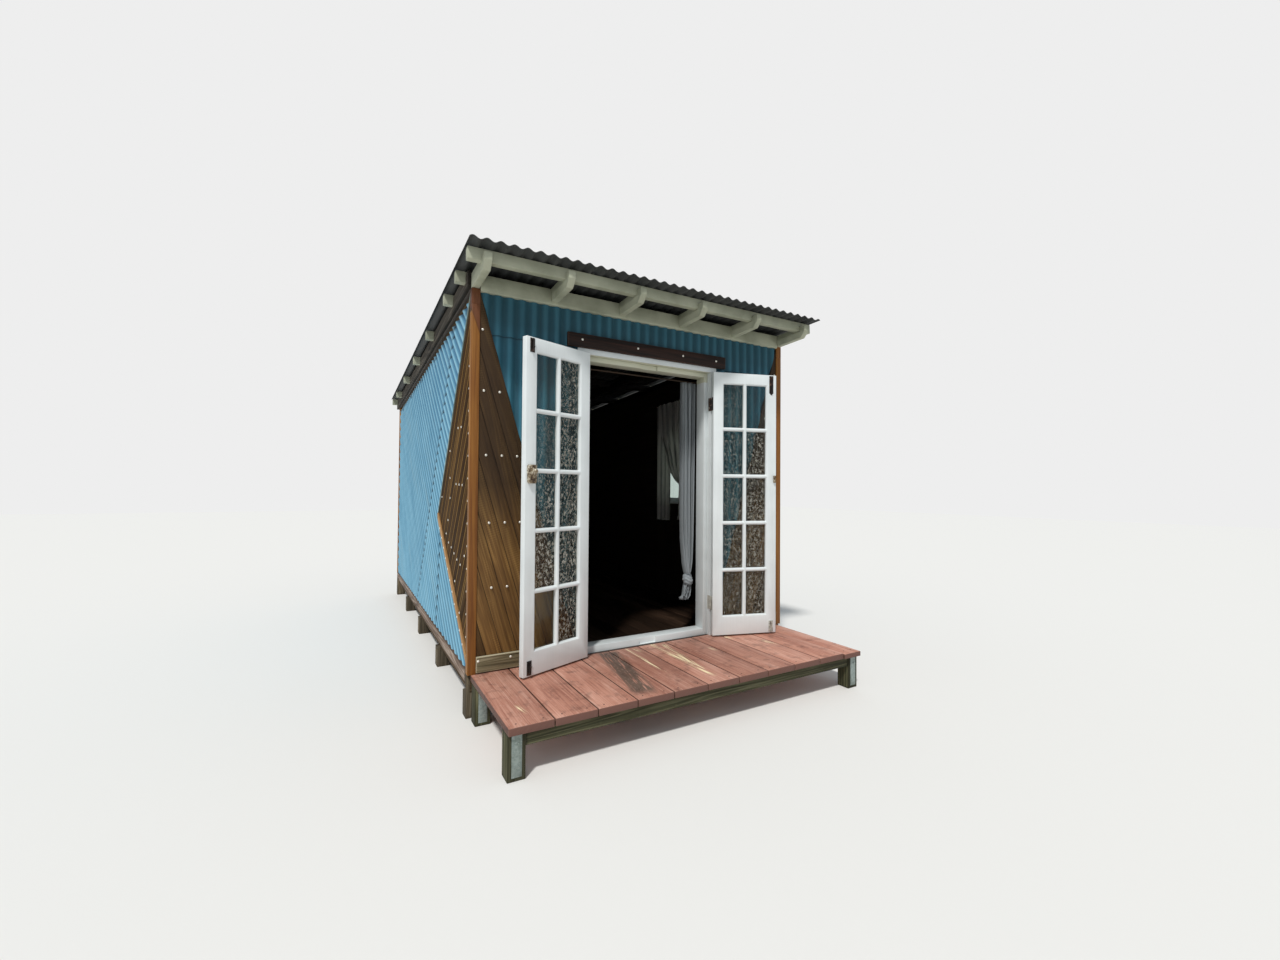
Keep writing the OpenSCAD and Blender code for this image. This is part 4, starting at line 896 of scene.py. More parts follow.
def stainedDeck(settings):
    material, tree, shader = startMaterial("stainedDeckPine")
    parts = boardFigure(tree)
    colour = woodColour(tree, parts, settings["colours"], 0.12, 0.18, 0.9, 0.06)
    place, axes = pointOn(tree)
    worn = combined(tree, "MAXIMUM", [bandMask(tree, place, band, 70.0, 0.38) for band in settings["worn"]])
    colour = mixColours(tree, combined(tree, "MULTIPLY", [worn, 0.8]), colour, settings["grey"])
    paleMarks = addNode(tree, "MapRange", {0: parts["speck"], 1: 0.60, 2: 0.70, 4: 0.45})
    colour = mixColours(tree, paleMarks, colour, settings["paleMarks"])
    stains = addNode(tree, "TexNoise", {"Vector": place, "Scale": 14.0, "Detail": 5.0, "Roughness": 0.65})
    stained = addNode(tree, "MapRange", {0: stains, 1: 0.52, 2: 0.68, 4: 0.4})
    colour = mixColours(tree, stained, colour, settings["joint"])
    joint = edgeMask(tree, parts["toEdge"], 0.007, parts["speck"], 0.15)
    colour = mixColours(tree, joint, colour, settings["joint"])
    # darker plank ends and end faces: end grain, and painted shade on the end faces
    darkEnds = edgeMask(tree, parts["toEnd"], 0.010, parts["fibre"])
    colour = mixColours(tree, combined(tree, "MULTIPLY", [darkEnds, 0.8]), colour, settings["end"])
    cut = within(tree, parts, {"toEnd": (None, 0.0015)})
    colour = mixColours(tree, cut, colour, settings["cut"])
    scraped = combined(tree, "MAXIMUM",
                       [bandMask(tree, place, band, 110.0, 0.50) for band in settings["scrapes"]])
    colour = mixColours(tree, scraped, colour, settings["scrape"])
    height = addNode(tree, "Math", {0: parts["fibre"], 1: 0.8, 2: parts["ring"]},
                     operation="MULTIPLY_ADD")
    bumpFrom(tree, shader, height, 0.0008)
    setShader(tree, shader, colour, Roughness=0.62)
    return material


dressBoards("deck_boards", "deckPlanks", stainedDeck(deckSettings), "deck_stain", deckSettings["easing"],
            deckSettings["seed"], alongDepth)
print("deck dressed")

# Doors: painted frames, hammered panes with a few plainer ones, and their fittings

doorSettings = {
    "hinge": {"left": Vector((-0.525, frontY - 0.032, 0)), "right": Vector((0.525, frontY - 0.032, 0))},
    "easing": 0.0015,
    "seed": 107,
    "worm": 0.0118,
    "darkGlass": "#756f62",
    "midGlass": "#c8c3b4",
    "clearGlass": "#f5f7f0",
    "plainGlass": "#dde6e2",
    "glint": "#b7b4a8",
    # how strong the pebbles are, up the column by the hinge and up the other one
    "pebble": {"left": ((1.0, 1.0, 0.9, 0.8, 0.7), (0.0, 1.0, 0.7, 0.4, 0.0)),
               "right": ((0.3, 0.45, 0.4, 0.35, 0.3), (0.6, 0.5, 0.6, 0.6, 0.0))},
    "columnSplit": 0.26,                        # from the hinge
    "paneRise": 0.3576,
    "firstPane": floorZ + 0.012 + 0.145,
    "lockHeights": (floorZ + 1.12, floorZ + 1.27),
    "black": [(0.38, "#171413"), (0.55, "#2b2421"), (0.66, "#5c3d2c"), (0.72, "#c6c2b8")],
    "cream": [(0.40, "#3c2d21"), (0.50, "#8d7a5e"), (0.56, "#d6d0bd")],
    "paintedBelow": 0.6,
    "overPaint": "#c3c1b6",
}


# Hammered cathedral glass: rolled with a pebbled face, whose bump bends what lies behind it. The dark
# and pale worms that this makes are also painted into the glass's tint as painted light and shade, with a
# warm cast that stands for the boards seen through it, and pale matt spots on the brightest are painted
# glints. The worms are drawn 12 mm wide where real ones are near 8; "pebble" says how strong they are in
# each pane, and is 0 on the smooth ones. The index of refraction is low, so that the pale studio doesn't
# veil the panes
def hammeredGlass(settings):
    material, tree, shader = startMaterial("hammeredCathedralGlass")
    place, axes = pointOn(tree)
    drawn = addNode(tree, "Mapping", {"Vector": place, "Scale": (1.0, 1.0, 0.6)})
    worms = addNode(tree, "TexNoise", {"Vector": drawn, "Scale": 1 / settings["worm"], "Detail": 1.0,
                                       "Distortion": 0.9})
    pebble = addNode(tree, "Attribute", attribute_name="pebble").outputs["Fac"]
    # the worms painted into the tint: painted light and shade of refraction
    tint = addNode(tree, "ValToRGB", {0: worms},
                   ramp=[(0.38, settings["darkGlass"]), (0.50, settings["midGlass"]),
                         (0.62, settings["clearGlass"])])
    colour = mixColours(tree, pebble, settings["plainGlass"], tint)
    relief = addNode(tree, "Math", {0: pebble, 1: 0.5}, operation="POWER")
    bumpFrom(tree, shader, combined(tree, "MULTIPLY", [worms, relief]), 0.0024)
    setShader(tree, shader, colour, Transmission_Weight=1.0, Roughness=0.08, IOR=1.28)
    # painted glints: a pale matt shader on the brightest worms
    glint = addNode(tree, "MapRange", {0: worms, 1: 0.54, 2: 0.66, 4: 0.7})
    amount = combined(tree, "MULTIPLY", [glint, pebble])
    pale = addNode(tree, "BsdfPrincipled", {"Base Color": settings["glint"], "Roughness": 0.25})
    showInstead(tree, addNode(tree, "MixShader", {0: amount, 1: shader, 2: pale}))
    return material


# Float glass in the window: see-through, with a faint green tint and a reflection at its surface
def floatGlass():
    material, tree, shader = startMaterial("floatGlass")
    tree.nodes.remove(shader)
    clear = addNode(tree, "BsdfTransparent", {0: "#e3ece8"})
    gloss = addNode(tree, "BsdfGlossy", {0: "#ffffff", "Roughness": 0.03})
    slant = addNode(tree, "LayerWeight", {"Blend": 0.35}).outputs["Facing"]
    share = addNode(tree, "MapRange", {0: slant, 1: 0.3, 2: 1.0, 3: 0.04, 4: 0.5})
    showInstead(tree, addNode(tree, "MixShader", {0: share, 1: clear, 2: gloss}))
    return material


# Japanned iron: black, its edges rubbed and rusty, with white paint brushed over parts of it;
# the lock between its two heights is cream paint worn to brown metal. Worn iron shows more of both,
# and the low fittings of the right door were painted over with the door
def japannedIron(name, settings, worn=0.0):
    material, tree, shader = startMaterial(name)
    place, axes = pointOn(tree)
    cloud = addNode(tree, "TexNoise", {"Vector": place, "Scale": 34.0, "Detail": 5.0, "Roughness": 0.7})
    black = addNode(tree, "ValToRGB", {0: cloud},
                    ramp=[(at - worn, tint) for at, tint in settings["black"]])
    cream = addNode(tree, "ValToRGB", {0: cloud}, ramp=settings["cream"])
    atLock = within(tree, axes, {"z": settings["lockHeights"]})
    colour = mixColours(tree, atLock, black, cream)
    lowRight = within(tree, axes, {"x": (0.0, None), "z": (None, settings["paintedBelow"])})
    cover = addNode(tree, "MapRange", {0: cloud, 1: 0.45, 2: 0.60, 3: 1.0, 4: 0.4})
    painted = combined(tree, "MULTIPLY", [lowRight, cover])
    colour = mixColours(tree, painted, colour, settings["overPaint"])
    bumpFrom(tree, shader, cloud, 0.0004)
    setShader(tree, shader, colour, Roughness=0.45, Metallic=0.35)
    return material


hammered = hammeredGlass(doorSettings)
blackIron = japannedIron("japannedIron", doorSettings)
rustyIron = japannedIron("rustyJapannedIron", doorSettings, 0.12)


# Writes how pebbled each pane of a leaf is
def markPanes(mesh, side, settings):
    work = bmesh.new()
    work.from_mesh(mesh)
    pebble = work.verts.layers.float.new("pebble")
    for pane in list(islands(work)):
        middle = sum((v.co for v in pane), Vector()) / len(pane)
        fromHinge = (middle - settings["hinge"][side]).to_2d().length
        row = int((middle.z - settings["firstPane"]) / settings["paneRise"])
        column = 1 if fromHinge > settings["columnSplit"] else 0
        for vert in pane:
            vert[pebble] = settings["pebble"][side][column][row]
    work.to_mesh(mesh)
    work.free()


def dressMetal(node, name, body, material, slot, easing=0):
    mesh = joinedCopy(node)
    if easing:
        mesh = rounded(mesh, easing)
    smooth(mesh, 40)
    addPiece(name, mesh, body, material, slot, [node])


def dressDoor(side, settings):
    body = side + "_door"
    leaf = side + "_leaf"
    dressBoards(leaf, side + "DoorFrame", finishes["whiteGlossDoor"], "white_paint", settings["easing"],
                settings["seed"], upright, body)
    panes = joinedCopy(leaf + "_glass")
    markPanes(panes, side, settings)
    addPiece(side + "DoorGlass", panes, body, hammered, "hammered_glass", [leaf + "_glass"])
    dressMetal(leaf + "_fittings", side + "DoorFittings", body, blackIron, "black_iron", 0.0006)


for side in ("left", "right"):
    dressDoor(side, doorSettings)
dressMetal("jamb_hinges", "jambHinges", "building", rustyIron, "black_iron")
addPiece("windowPane", joinedCopy("right_window_glass"), "building", floatGlass(), "clear_glass",
         ["right_window_glass"])


# Galvanised strap: zinc with a faint spangle, dulled and stained green at its foot
def galvanisedSteel():
    material, tree, shader = startMaterial("galvanisedStrap")
    place, axes = pointOn(tree)
    spangle = addNode(tree, "TexVoronoi", {"Vector": place, "Scale": 110.0}).outputs["Color"]
    dull = addNode(tree, "TexNoise", {"Vector": place, "Scale": 14.0, "Detail": 5.0})
    zinc = addNode(tree, "ValToRGB", {0: spangle}, ramp=[(0.0, "#85928f"), (1.0, "#a7b2ae")])
    stain = addNode(tree, "MapRange", {0: dull, 1: 0.45, 2: 0.75, 4: 0.7})
    colour = mixColours(tree, stain, zinc, "#62695a")
    bumpFrom(tree, shader, dull, 0.0005)
    setShader(tree, shader, colour, Metallic=0.6, Roughness=0.5)
    return material


dressMetal("deck_straps", "deckStraps", "building", galvanisedSteel(), "galvanised_strap", 0.001)
print("doors, window and straps dressed")

# Curtains: each starts as pleats between a few stations, (height, middle, half width, half depth),
# and the cloth solver hangs it from its pinned rows

clothSettings = {
    "weave": 0.003,      # thread spacing; the real one, near 0.7 mm, is too fine to show
    "thickness": 0.0007,
    "rowStep": 0.016,
    "pleatPoints": 10,
    "slack": 0.015,      # spare cloth between the pinned rows
    "broadShare": 0.62,  # of the depth, in broad waves; the pleats have the rest
    "swayShare": 0.25,   # of a pleat's width, from side to side
    "frames": 30,
    "solver": {"quality": 6, "mass": 0.12, "tension_stiffness": 12, "compression_stiffness": 12,
               "shear_stiffness": 4, "bending_stiffness": 0.3, "air_damping": 2},
}
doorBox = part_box("door_curtain")
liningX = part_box("right_lining")[0].x
windowRods = {
    "farX": liningX - 0.030,
    "nearX": liningX - 0.064,
    "height": 2.290,
    "from": -0.715,
    "to": -0.035,
    "radius": 0.005,
    "turned": [(0.0, 1.0), (0.008, 1.0), (0.009, 1.6), (0.016, 1.6), (0.017, 1.0)],   # (place, size)
    "sides": 12,
    "bracketIn": 0.03,
    "bracketDrop": 0.009,
    "armReach": 0.012,          # past the near rod
    "arm": (0.004, 0.014),
    "plate": (0.003, 0.022, 0.050),
}
curtainSettings = {
    "door": {
        "pleats": 9, "broad": 2.6, "seed": 5, "across": Vector((1, 0, 0)), "out": Vector((0, 1, 0)),
        "line": (doorBox[0] + doorBox[1]) / 2,
        "stations": [(doorBox[1].z, 0.0, 0.062, 0.026), (1.70, -0.008, 0.070, 0.032),
                     (1.10, -0.012, 0.074, 0.034), (0.85, 0.004, 0.054, 0.034),
                     (0.690, 0.014, 0.024, 0.026), (0.645, 0.006, 0.026, 0.026),
                     (0.59, -0.022, 0.048, 0.030), (0.54, -0.030, 0.048, 0.030),
                     (doorBox[0].z + 0.004, -0.030, 0.032, 0.020)],
        "tied": (0.645, 0.690),
        "knot": {"radius": 0.026, "fall": 0.040, "thick": 0.017, "tall": 0.034, "fold": 0.16},
    },
    "windowFar": {
        "pleats": 9, "broad": 3.4, "seed": 8, "across": Vector((0, 1, 0)), "out": Vector((1, 0, 0)),
        "line": Vector((windowRods["farX"], 0, 0)),
        "stations": [(windowRods["height"], -0.205, 0.130, 0.012), (1.60, -0.205, 0.124, 0.014),
                     (1.060, -0.200, 0.120, 0.014)],
        "tied": None,
    },
    "windowNear": {
        "pleats": 12, "broad": 4.3, "seed": 9, "across": Vector((0, 1, 0)), "out": Vector((1, 0, 0)),
        "line": Vector((windowRods["nearX"], 0, 0)),
        "stations": [(windowRods["height"], -0.425, 0.240, 0.012), (2.00, -0.440, 0.225, 0.014),
                     (1.70, -0.510, 0.145, 0.018), (1.44, -0.600, 0.044, 0.026),
                     (1.40, -0.605, 0.040, 0.026), (1.30, -0.600, 0.055, 0.026),
                     (1.060, -0.600, 0.070, 0.024)],
        "tied": (1.40, 1.44),
        "knot": {"radius": 0.024, "fall": 0.012, "thick": 0.006, "tall": 0.011, "fold": 0.08},
    },
}


def between(stations, height):
    for upper, lower in zip(stations, stations[1:]):
        if height >= lower[0]:
            share = (upper[0] - height) / (upper[0] - lower[0])
            share = share * share * (3 - 2 * share)
            return [a + (b - a) * share for a, b in zip(upper[1:], lower[1:])]
    return list(stations[-1][1:])


# Loose folds: each pleat has its own size and leans its own way down the cloth
def pleatedCloth(name, settings, cloth):
    chance = random.Random(settings["seed"])
    pleats = settings["pleats"]
    columns = pleats * cloth["pleatPoints"] + 1
    top, foot = settings["stations"][0][0], settings["stations"][-1][0]
    rows = round((top - foot) / cloth["rowStep"]) + 1
    size = [0.75 + 0.5 * chance.random() for i in range(pleats + 1)]
    sway = [(chance.random() * 6.3, 2.0 + 3.0 * chance.random()) for i in range(pleats + 1)]
    across, out, line = settings["across"], settings["out"], settings["line"]
    points, valleys = [], []
    for row in range(rows):
        height = top + (foot - top) * row / (rows - 1)
        middle, half, depth = between(settings["stations"], height)
        for column in range(columns):
            share = column / (columns - 1)
            turn = share * pleats
            pleat = min(int(turn), pleats - 1)
            local = turn - pleat
            big = size[pleat] * (1 - local) + size[pleat + 1] * local
            phase, speed = sway[pleat]
            nextPhase, nextSpeed = sway[pleat + 1]
            lean = 0.5 * ((1 - local) * math.sin(phase + speed * height)
                          + local * math.sin(nextPhase + nextSpeed * height))
            along = middle + half * (2 * share - 1) + cloth["swayShare"] * half / pleats * lean
            broad = math.sin(2 * math.pi * settings["broad"] * share + phase * 0.3 + 0.5 * lean)
            small = math.sin(2 * math.pi * turn + 0.6 * lean)
            fold = cloth["broadShare"] * broad + (1 - cloth["broadShare"]) * min(big, 1.0) * small
            # how deep in a fold each point lies, for the cloth's painted shade
            valleys.append(0.5 + 0.5 * fold)
            spot = Vector((line.x, line.y, height)) + out * (depth * fold)
            spot += across * (along - (0 if abs(across.x) > 0.5 else line.y))
            points.append(spot)
    faces = [(r * columns + c, r * columns + c + 1, (r + 1) * columns + c + 1, (r + 1) * columns + c)
             for r in range(rows - 1) for c in range(columns - 1)]
    mesh = bpy.data.meshes.new(name)
    mesh.from_pydata(points, [], faces)
    valley = mesh.attributes.new("valley", "FLOAT", "POINT")
    valley.data.foreach_set("value", valleys)
    width = sum((points[i + 1] - points[i]).length for i in range(columns - 1))
    threads = mesh.uv_layers.new(name="threads")
    for loop in mesh.loops:
        row, column = divmod(loop.vertex_index, columns)
        threads.data[loop.index].uv = (width * column / (columns - 1), (top - foot) * row / (rows - 1))
    pinned = list(range(columns))
    if settings["tied"]:
        low, high = settings["tied"]
        pinned += [i for i, p in enumerate(points) if low - 0.001 <= p.z <= high + 0.001]
        pinned += range(len(points) - columns, len(points))
    return mesh, pinned, (width, top - foot)


# Lets the cloth hang, holds what it came to, and gives it its thickness
def hung(mesh, pinned, cloth):
    holder = bpy.data.objects.new("hanging", mesh)
    scene.collection.objects.link(holder)
    group = holder.vertex_groups.new(name="pins")
    group.add(pinned, 1.0, "REPLACE")
    solver = holder.modifiers.new("cloth", "CLOTH")
    for name, value in cloth["solver"].items():
        setattr(solver.settings, name, value)
    solver.settings.vertex_group_mass = group.name
    solver.settings.shrink_min = -cloth["slack"]
    solver.collision_settings.use_collision = False
    for step in range(1, cloth["frames"] + 1):
        scene.frame_set(step)
    settled = shapedMesh(holder)
    scene.frame_set(1)
    holder.modifiers.clear()
    holder.data = settled
    skin = holder.modifiers.new("thickness", "SOLIDIFY")
    skin.thickness = cloth["thickness"]
    skin.offset = 0
    made = shapedMesh(holder)
    bpy.data.objects.remove(holder)
    made.shade_smooth()
    return made


# Plain woven cotton, washed soft: matt, with threads across and down, a dull sheen on its folds, and
# painted shade in the folds' valleys; a share of the light that falls on its back shines through
def wovenCotton(name, tint, weave, through):
    material, tree, shader = startMaterial(name)
    threads = addNode(tree, "UVMap", uv_map="threads")
    waves = []
    for axis in list(addNode(tree, "SeparateXYZ", {0: threads}).outputs)[:2]:
        turns = addNode(tree, "Math", {0: axis, 1: 2 * math.pi / weave}, operation="MULTIPLY")
        waves.append(addNode(tree, "Math", {0: turns}, operation="SINE"))
    slub = addNode(tree, "Mapping", {"Vector": threads, "Scale": (300, 12, 1)})
    slubs = addNode(tree, "TexNoise", {"Vector": slub, "Scale": 1.0, "Detail": 3.0})
    level = addNode(tree, "MapRange", {0: slubs, 1: 0.3, 2: 0.7, 3: 0.86, 4: 1.08})
    # painted shade in the folds' valleys
    deep = addNode(tree, "Attribute", attribute_name="valley").outputs["Fac"]
    shaded = addNode(tree, "MapRange", {0: deep, 1: 0.35, 2: 0.9, 3: 1.0, 4: 0.42})
    value = combined(tree, "MULTIPLY", [level, shaded])
    colour = addNode(tree, "HueSaturation", {"Value": value, "Color": tint})
    bumpFrom(tree, shader, combined(tree, "MULTIPLY", waves), 0.0004)
    setShader(tree, shader, colour, Roughness=0.9, Sheen_Weight=0.25)
    lit = addNode(tree, "BsdfTranslucent", {0: colour})
    showInstead(tree, addNode(tree, "MixShader", {0: through, 1: shader, 2: lit}))
    return material


paleCotton = wovenCotton("washedCotton", "#9ca4a8", clothSettings["weave"], 0.15)
windowCotton = wovenCotton("windowCotton", "#dcdcd6", clothSettings["weave"], 0.45)


# The cloth of a knot: a folded band that goes once round the gathered neck and tucks in
def knotMesh(middle, settings):
    rings, sides = 60, 36
    start, wrap = -0.6, 1.18        # where it begins, and how many times round it goes
    work = bmesh.new()
    loops = []
    for i in range(rings + 1):
        share = i / rings
        angle = 2 * math.pi * (wrap * share) + start
        radius = settings["radius"] * (0.55 + 0.45 * math.sin(math.pi * share) ** 0.4)
        outward = Vector((math.cos(angle), math.sin(angle), 0))
        centre = middle + outward * radius + Vector((0, 0, settings["fall"] * (0.5 - share)))
        swell = 0.35 + 0.65 * math.sin(math.pi * share) ** 0.5
        loops.append([])
        for j in range(sides):
            turn = 2 * math.pi * j / sides
            fold = 1 + settings["fold"] * math.cos(7 * turn + 1.7 * math.sin(3 * angle))
            side = outward * (math.cos(turn) * settings["thick"] * fold * swell)
            rise = Vector((0, 0, math.sin(turn) * settings["tall"] * fold * swell))
            loops[-1].append(work.verts.new(centre + side + rise))
    for a, b in zip(loops, loops[1:]):
        for j in range(sides):
            work.faces.new((a[j], a[(j + 1) % sides], b[(j + 1) % sides], b[j]))
    work.faces.new(list(reversed(loops[0])))
    work.faces.new(loops[-1])
    bmesh.ops.recalc_face_normals(work, faces=work.faces)
    threads = work.loops.layers.uv.new("threads")
    for face in work.faces:
        for loop in face.loops:
            loop[threads].uv = (loop.vert.co.x + loop.vert.co.y, loop.vert.co.z)
    mesh = bpy.data.meshes.new("knot")
    work.to_mesh(mesh)
    work.free()
    mesh.shade_smooth()
    return mesh


# Two thin rods over the window, one for each curtain, on a pair of flat brackets with turned ends
def windowRodMesh(rods):
    work = bmesh.new()
    length = rods["to"] - rods["from"]
    sides = rods["sides"]
    profile = rods["turned"] + [(length - at, size) for at, size in reversed(rods["turned"])]
    for x in (rods["farX"], rods["nearX"]):
        rings = []
        for at, size in profile:
            reach = rods["radius"] * size
            turns = [2 * math.pi * i / sides for i in range(sides)]
            rings.append([work.verts.new((x + reach * math.cos(turn), rods["from"] + at,
                                          rods["height"] + reach * math.sin(turn))) for turn in turns])
        for a, b in zip(rings, rings[1:]):
            for i in range(sides):
                work.faces.new((a[i], a[(i + 1) % sides], b[(i + 1) % sides], b[i]))
        work.faces.new(rings[0])
        work.faces.new(rings[-1])
    arm = (liningX - rods["nearX"] + rods["armReach"],) + rods["arm"]
    for y in (rods["from"] + rods["bracketIn"], rods["to"] - rods["bracketIn"]):
        for size in (arm, rods["plate"]):
            place = Matrix.Translation((liningX - size[0] / 2, y, rods["height"] - rods["bracketDrop"]))
            bmesh.ops.create_cube(work, size=1.0, matrix=place @ Matrix.Diagonal(size + (1,)))
    bmesh.ops.recalc_face_normals(work, faces=work.faces)
    mesh = bpy.data.meshes.new("windowCurtainRods")
    work.to_mesh(mesh)
    work.free()
    return mesh


rodMesh = rounded(windowRodMesh(windowRods), 0.0005)
smooth(rodMesh, 40)
addPiece("windowCurtainRods", rodMesh, "building", blackIron, "black_iron")


def dressCurtain(name, settings, material, replaced):
    mesh, pinned, flat = pleatedCloth(name, settings, clothSettings)
    cloth = hung(mesh, pinned, clothSettings)
    piece = addPiece(name, cloth, "building", material, "curtain_cloth", replaced)
    if settings["tied"]:
        height = sum(settings["tied"]) / 2
        offset = between(settings["stations"], height)[0]
        line = settings["line"]
        middle = Vector((line.x, line.y if settings["across"].x else 0, height))
        knot = knotMesh(middle + settings["across"] * offset, settings["knot"])
        addPiece(name + "Knot", knot, "building", material, "curtain_cloth")
    print(name, "flat", [round(x, 3) for x in flat])


dressCurtain("doorCurtain", curtainSettings["door"], paleCotton, ["door_curtain"])
dressCurtain("windowCurtainFar", curtainSettings["windowFar"], windowCotton, [])
dressCurtain("windowCurtainNear", curtainSettings["windowNear"], windowCotton, [])
print("curtains hung")

# Screws, instanced on points that each hold the way they face

screwSettings = {
    "dome": {"Radius": 0.0080, "Rise": 0.0036},
    "roof": {"Radius": 0.0100, "Rise": 0.0030, "Hex": 0.0050, "Hex Rise": 0.0046},
    "deck": {"Radius": 0.0050, "Rise": 0.0008},
    # rows over the front fans: a screw to each board, from the slanting joint of the first two
    "frontRows": frontScrewRows,
    "boardPitch": 0.092,
    "diagonalTop": (1.215, 2.554),
    "diagonalFoot": (0.578, 0.363),
    "edgeClear": 0.012,
    "headBoard": (-0.5535, -0.1285, 0.2555, 0.5645),
    "headHeight": 2.36,
    "skirt": (1.2015, 1.0065),
    "skirtHeight": 0.336,
    # the side fans: a column by the corner post, and what is listed one by one, (back, height)
    "cornerBack": 0.055,
    "cornerStep": 0.137,
    "cornerFrom": 0.47,
    "cornerTo": 2.20,
    "sideFan": [(0.377, 1.767), (0.278, 1.764), (0.655, 1.631), (0.640, 1.440), (0.419, 1.396),
                (0.222, 1.389), (0.320, 1.392), (0.959, 1.301), (0.629, 1.299), (0.695, 1.141),
                (1.030, 1.069), (0.760, 1.040), (0.663, 0.984), (0.560, 0.960), (0.460, 0.930),
                (0.360, 0.900), (0.250, 0.880), (0.132, 0.950), (0.262, 0.572), (0.420, 0.750)],
    "battenStep": 0.105,
    "roofEdge": 0.03,
    "crestsApart": 3,
    "deckEnds": (0.05, 0.06),            # in from the front and the back of the planks
    "deckSides": 0.045,
}


def screwTree(name, withHex):
    sizes = ["Radius", "Rise"] + (["Hex", "Hex Rise"] if withHex else [])
    tree, given = startTree(name, [(size, "Float") for size in sizes])
    ball = addNode(tree, "GeometryNodeMeshUVSphere", {"Segments": 8, "Rings": 6, "Radius": 1.0})
    flat = addNode(tree, "CombineXYZ", {0: given["Radius"], 1: given["Radius"], 2: given["Rise"]})
    head = addNode(tree, "GeometryNodeTransform", {"Geometry": ball, "Scale": flat})
    if withHex:
        stud = addNode(tree, "GeometryNodeMeshCylinder", {"Vertices": 6, "Radius": given["Hex"],
                                                          "Depth": given["Hex Rise"]})
        half = addNode(tree, "Math", {0: given["Hex Rise"], 1: 0.6}, operation="MULTIPLY")
        lift = addNode(tree, "CombineXYZ", {2: half})
        raised = addNode(tree, "GeometryNodeTransform", {"Geometry": stud, "Translation": lift})
        head = joinParts(tree, [head, raised])
    facing = addNode(tree, "GeometryNodeInputNamedAttribute", {"Name": "facing"}, data_type="FLOAT_VECTOR")
    turned = addNode(tree, "FunctionNodeAlignRotationToVector", {"Vector": facing}, axis="Z")
    placed = addNode(tree, "GeometryNodeInstanceOnPoints", {"Points": given["Geometry"],
                                                            "Instance": head, "Rotation": turned})
    finishTree(tree, placed, given["Material"])
    return tree


# Spots are (place, facing)
def setScrews(name, spots, tree, sizes, material):
    mesh = bpy.data.meshes.new(name)
    mesh.from_pydata([place for place, facing in spots], [], [])
    facings = mesh.attributes.new("facing", "FLOAT_VECTOR", "POINT")
    for item, (place, facing) in zip(facings.data, spots):
        item.vector = facing
    made = grow(tree, mesh, Material=material, **sizes)
    smooth(made, 50)
    return addPiece(name, made, "building", material, "galvanised_strap")


# Zinc plated steel: its tint lighter and darker in small spots
def zincScrew(name, tint, rough):
    material, tree, shader = startMaterial(name)
    place, axes = pointOn(tree)
    spots = addNode(tree, "TexNoise", {"Vector": place, "Scale": 60.0, "Detail": 2.0})
    level = addNode(tree, "MapRange", {0: spots, 1: 0.3, 2: 0.7, 3: 0.8, 4: 1.1})
    colour = addNode(tree, "HueSaturation", {"Value": level, "Color": tint})
    setShader(tree, shader, colour, Metallic=0.4, Roughness=rough)
    return material


def boardScrews(settings):
    forward = Vector((0, -1, 0))
    spots = []
    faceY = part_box("front_fans")[0].y
    topX, topZ = settings["diagonalTop"]
    footX, footZ = settings["diagonalFoot"]
    lean = (topX - footX) / (topZ - footZ)
    step = settings["boardPitch"] * math.sqrt(1 + lean * lean)
    for z in settings["frontRows"]:
        x = topX - (topZ - z) * lean + step / 2
        while x < topX - settings["edgeClear"]:
            spots += [(Vector((side * x, faceY, z)), forward) for side in (-1, 1)]
            x += step
    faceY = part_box("head_board")[0].y
    spots += [(Vector((x, faceY, settings["headHeight"])), forward) for x in settings["headBoard"]]
    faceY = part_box("front_skirts")[0].y + 0.004
    spots += [(Vector((side * x, faceY, settings["skirtHeight"])), forward)
              for x in settings["skirt"] for side in (-1, 1)]
    count = round((settings["cornerTo"] - settings["cornerFrom"]) / settings["cornerStep"])
    corner = [(settings["cornerBack"], settings["cornerFrom"] + i * settings["cornerStep"])
              for i in range(count)]
    for side, faceX in ((-1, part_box("left_fan")[0].x), (1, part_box("right_fan")[1].x)):
        spots += [(Vector((faceX, frontY + back, z)), Vector((side, 0, 0)))
                  for back, z in corner + settings["sideFan"]]
    return spots


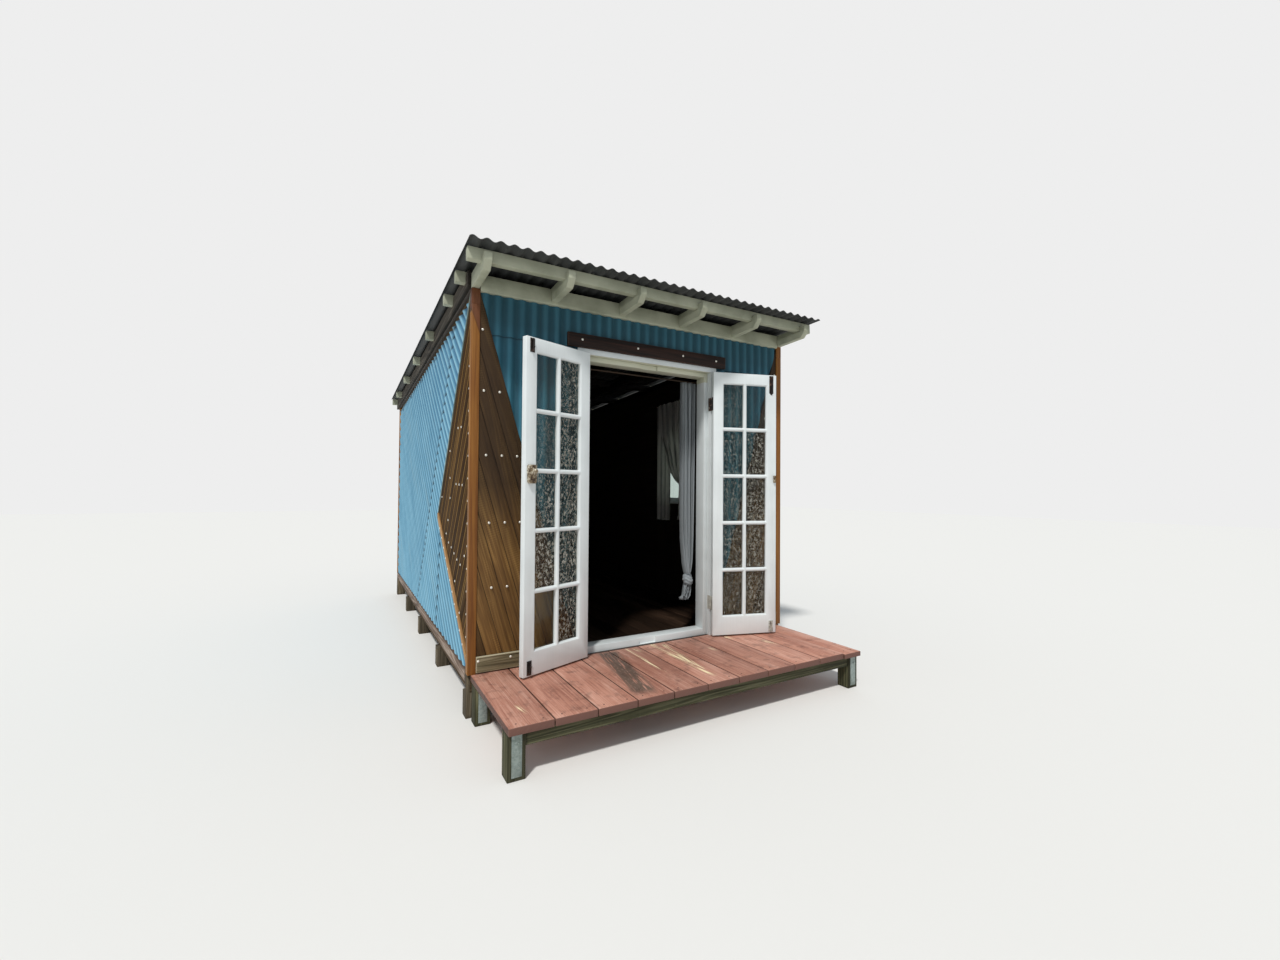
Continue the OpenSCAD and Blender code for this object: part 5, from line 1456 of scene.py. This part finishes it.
# Both sides of each lower batten are screwed from its peak to its foot
def battenScrews(settings):
    low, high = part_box("fan_lower_trims")
    peak = Vector((0, high.y - 0.03, high.z - 0.05))
    foot = Vector((0, low.y + 0.02, low.z + 0.03))
    count = int((foot - peak).length / settings["battenStep"])
    spots = []
    for side in (-1, 1):
        face = Vector((side * (wallX + 0.020), 0, 0))
        spots += [(face + peak + (foot - peak) * (i / count), Vector((side, 0, 0)))
                  for i in range(1, count)]
    return spots


def roofScrews(settings, sheet):
    low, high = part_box("roof_sheet")
    work = bmesh.new()
    work.from_mesh(joinedCopy("battens"))
    lines = sorted({round(sum(v.co.y for v in batten) / len(batten), 3) for batten in islands(work)})
    work.free()
    outward = Vector((0, math.sin(roofPitch), math.cos(roofPitch)))
    crests = int((high.x - settings["roofEdge"]) / sheet["pitch"])
    spots = []
    for y in lines:
        z = high.z - (y - low.y) * math.tan(roofPitch) - 0.0005
        spots += [(Vector(((crest + 0.5) * sheet["pitch"], y, z)), outward)
                  for crest in range(-crests, crests, settings["crestsApart"])]
    return spots


def deckScrews(settings):
    low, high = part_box("deck_boards")
    front, back = settings["deckEnds"]
    side = settings["deckSides"]
    work = bmesh.new()
    work.from_mesh(joinedCopy("deck_boards"))
    spots = []
    for board in islands(work):
        x = [v.co.x for v in board]
        for y in (low.y + front, high.y - back):
            spots += [(Vector((at, y, high.z)), Vector((0, 0, 1))) for at in (min(x) + side, max(x) - side)]
    work.free()
    return spots


domeTree, hexTree = screwTree("domeScrews", False), screwTree("hexScrews", True)
# the board screws' near white tint is a painted glint on their heads
setScrews("boardScrews", boardScrews(screwSettings) + battenScrews(screwSettings), domeTree,
          screwSettings["dome"], zincScrew("zincPlatedScrew", "#f0ece0", 0.3))
setScrews("roofScrews", roofScrews(screwSettings, roofSettings), hexTree,
          screwSettings["roof"], zincScrew("dullRoofScrew", "#6f706d", 0.6))
setScrews("deckScrews", deckScrews(screwSettings), domeTree,
          screwSettings["deck"], zincScrew("rustyDeckScrew", "#4b3a31", 0.8))
print("screws set")

for name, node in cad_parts.items():
    if not node.hide_render and not node.data.materials:
        print("no finish on", name)
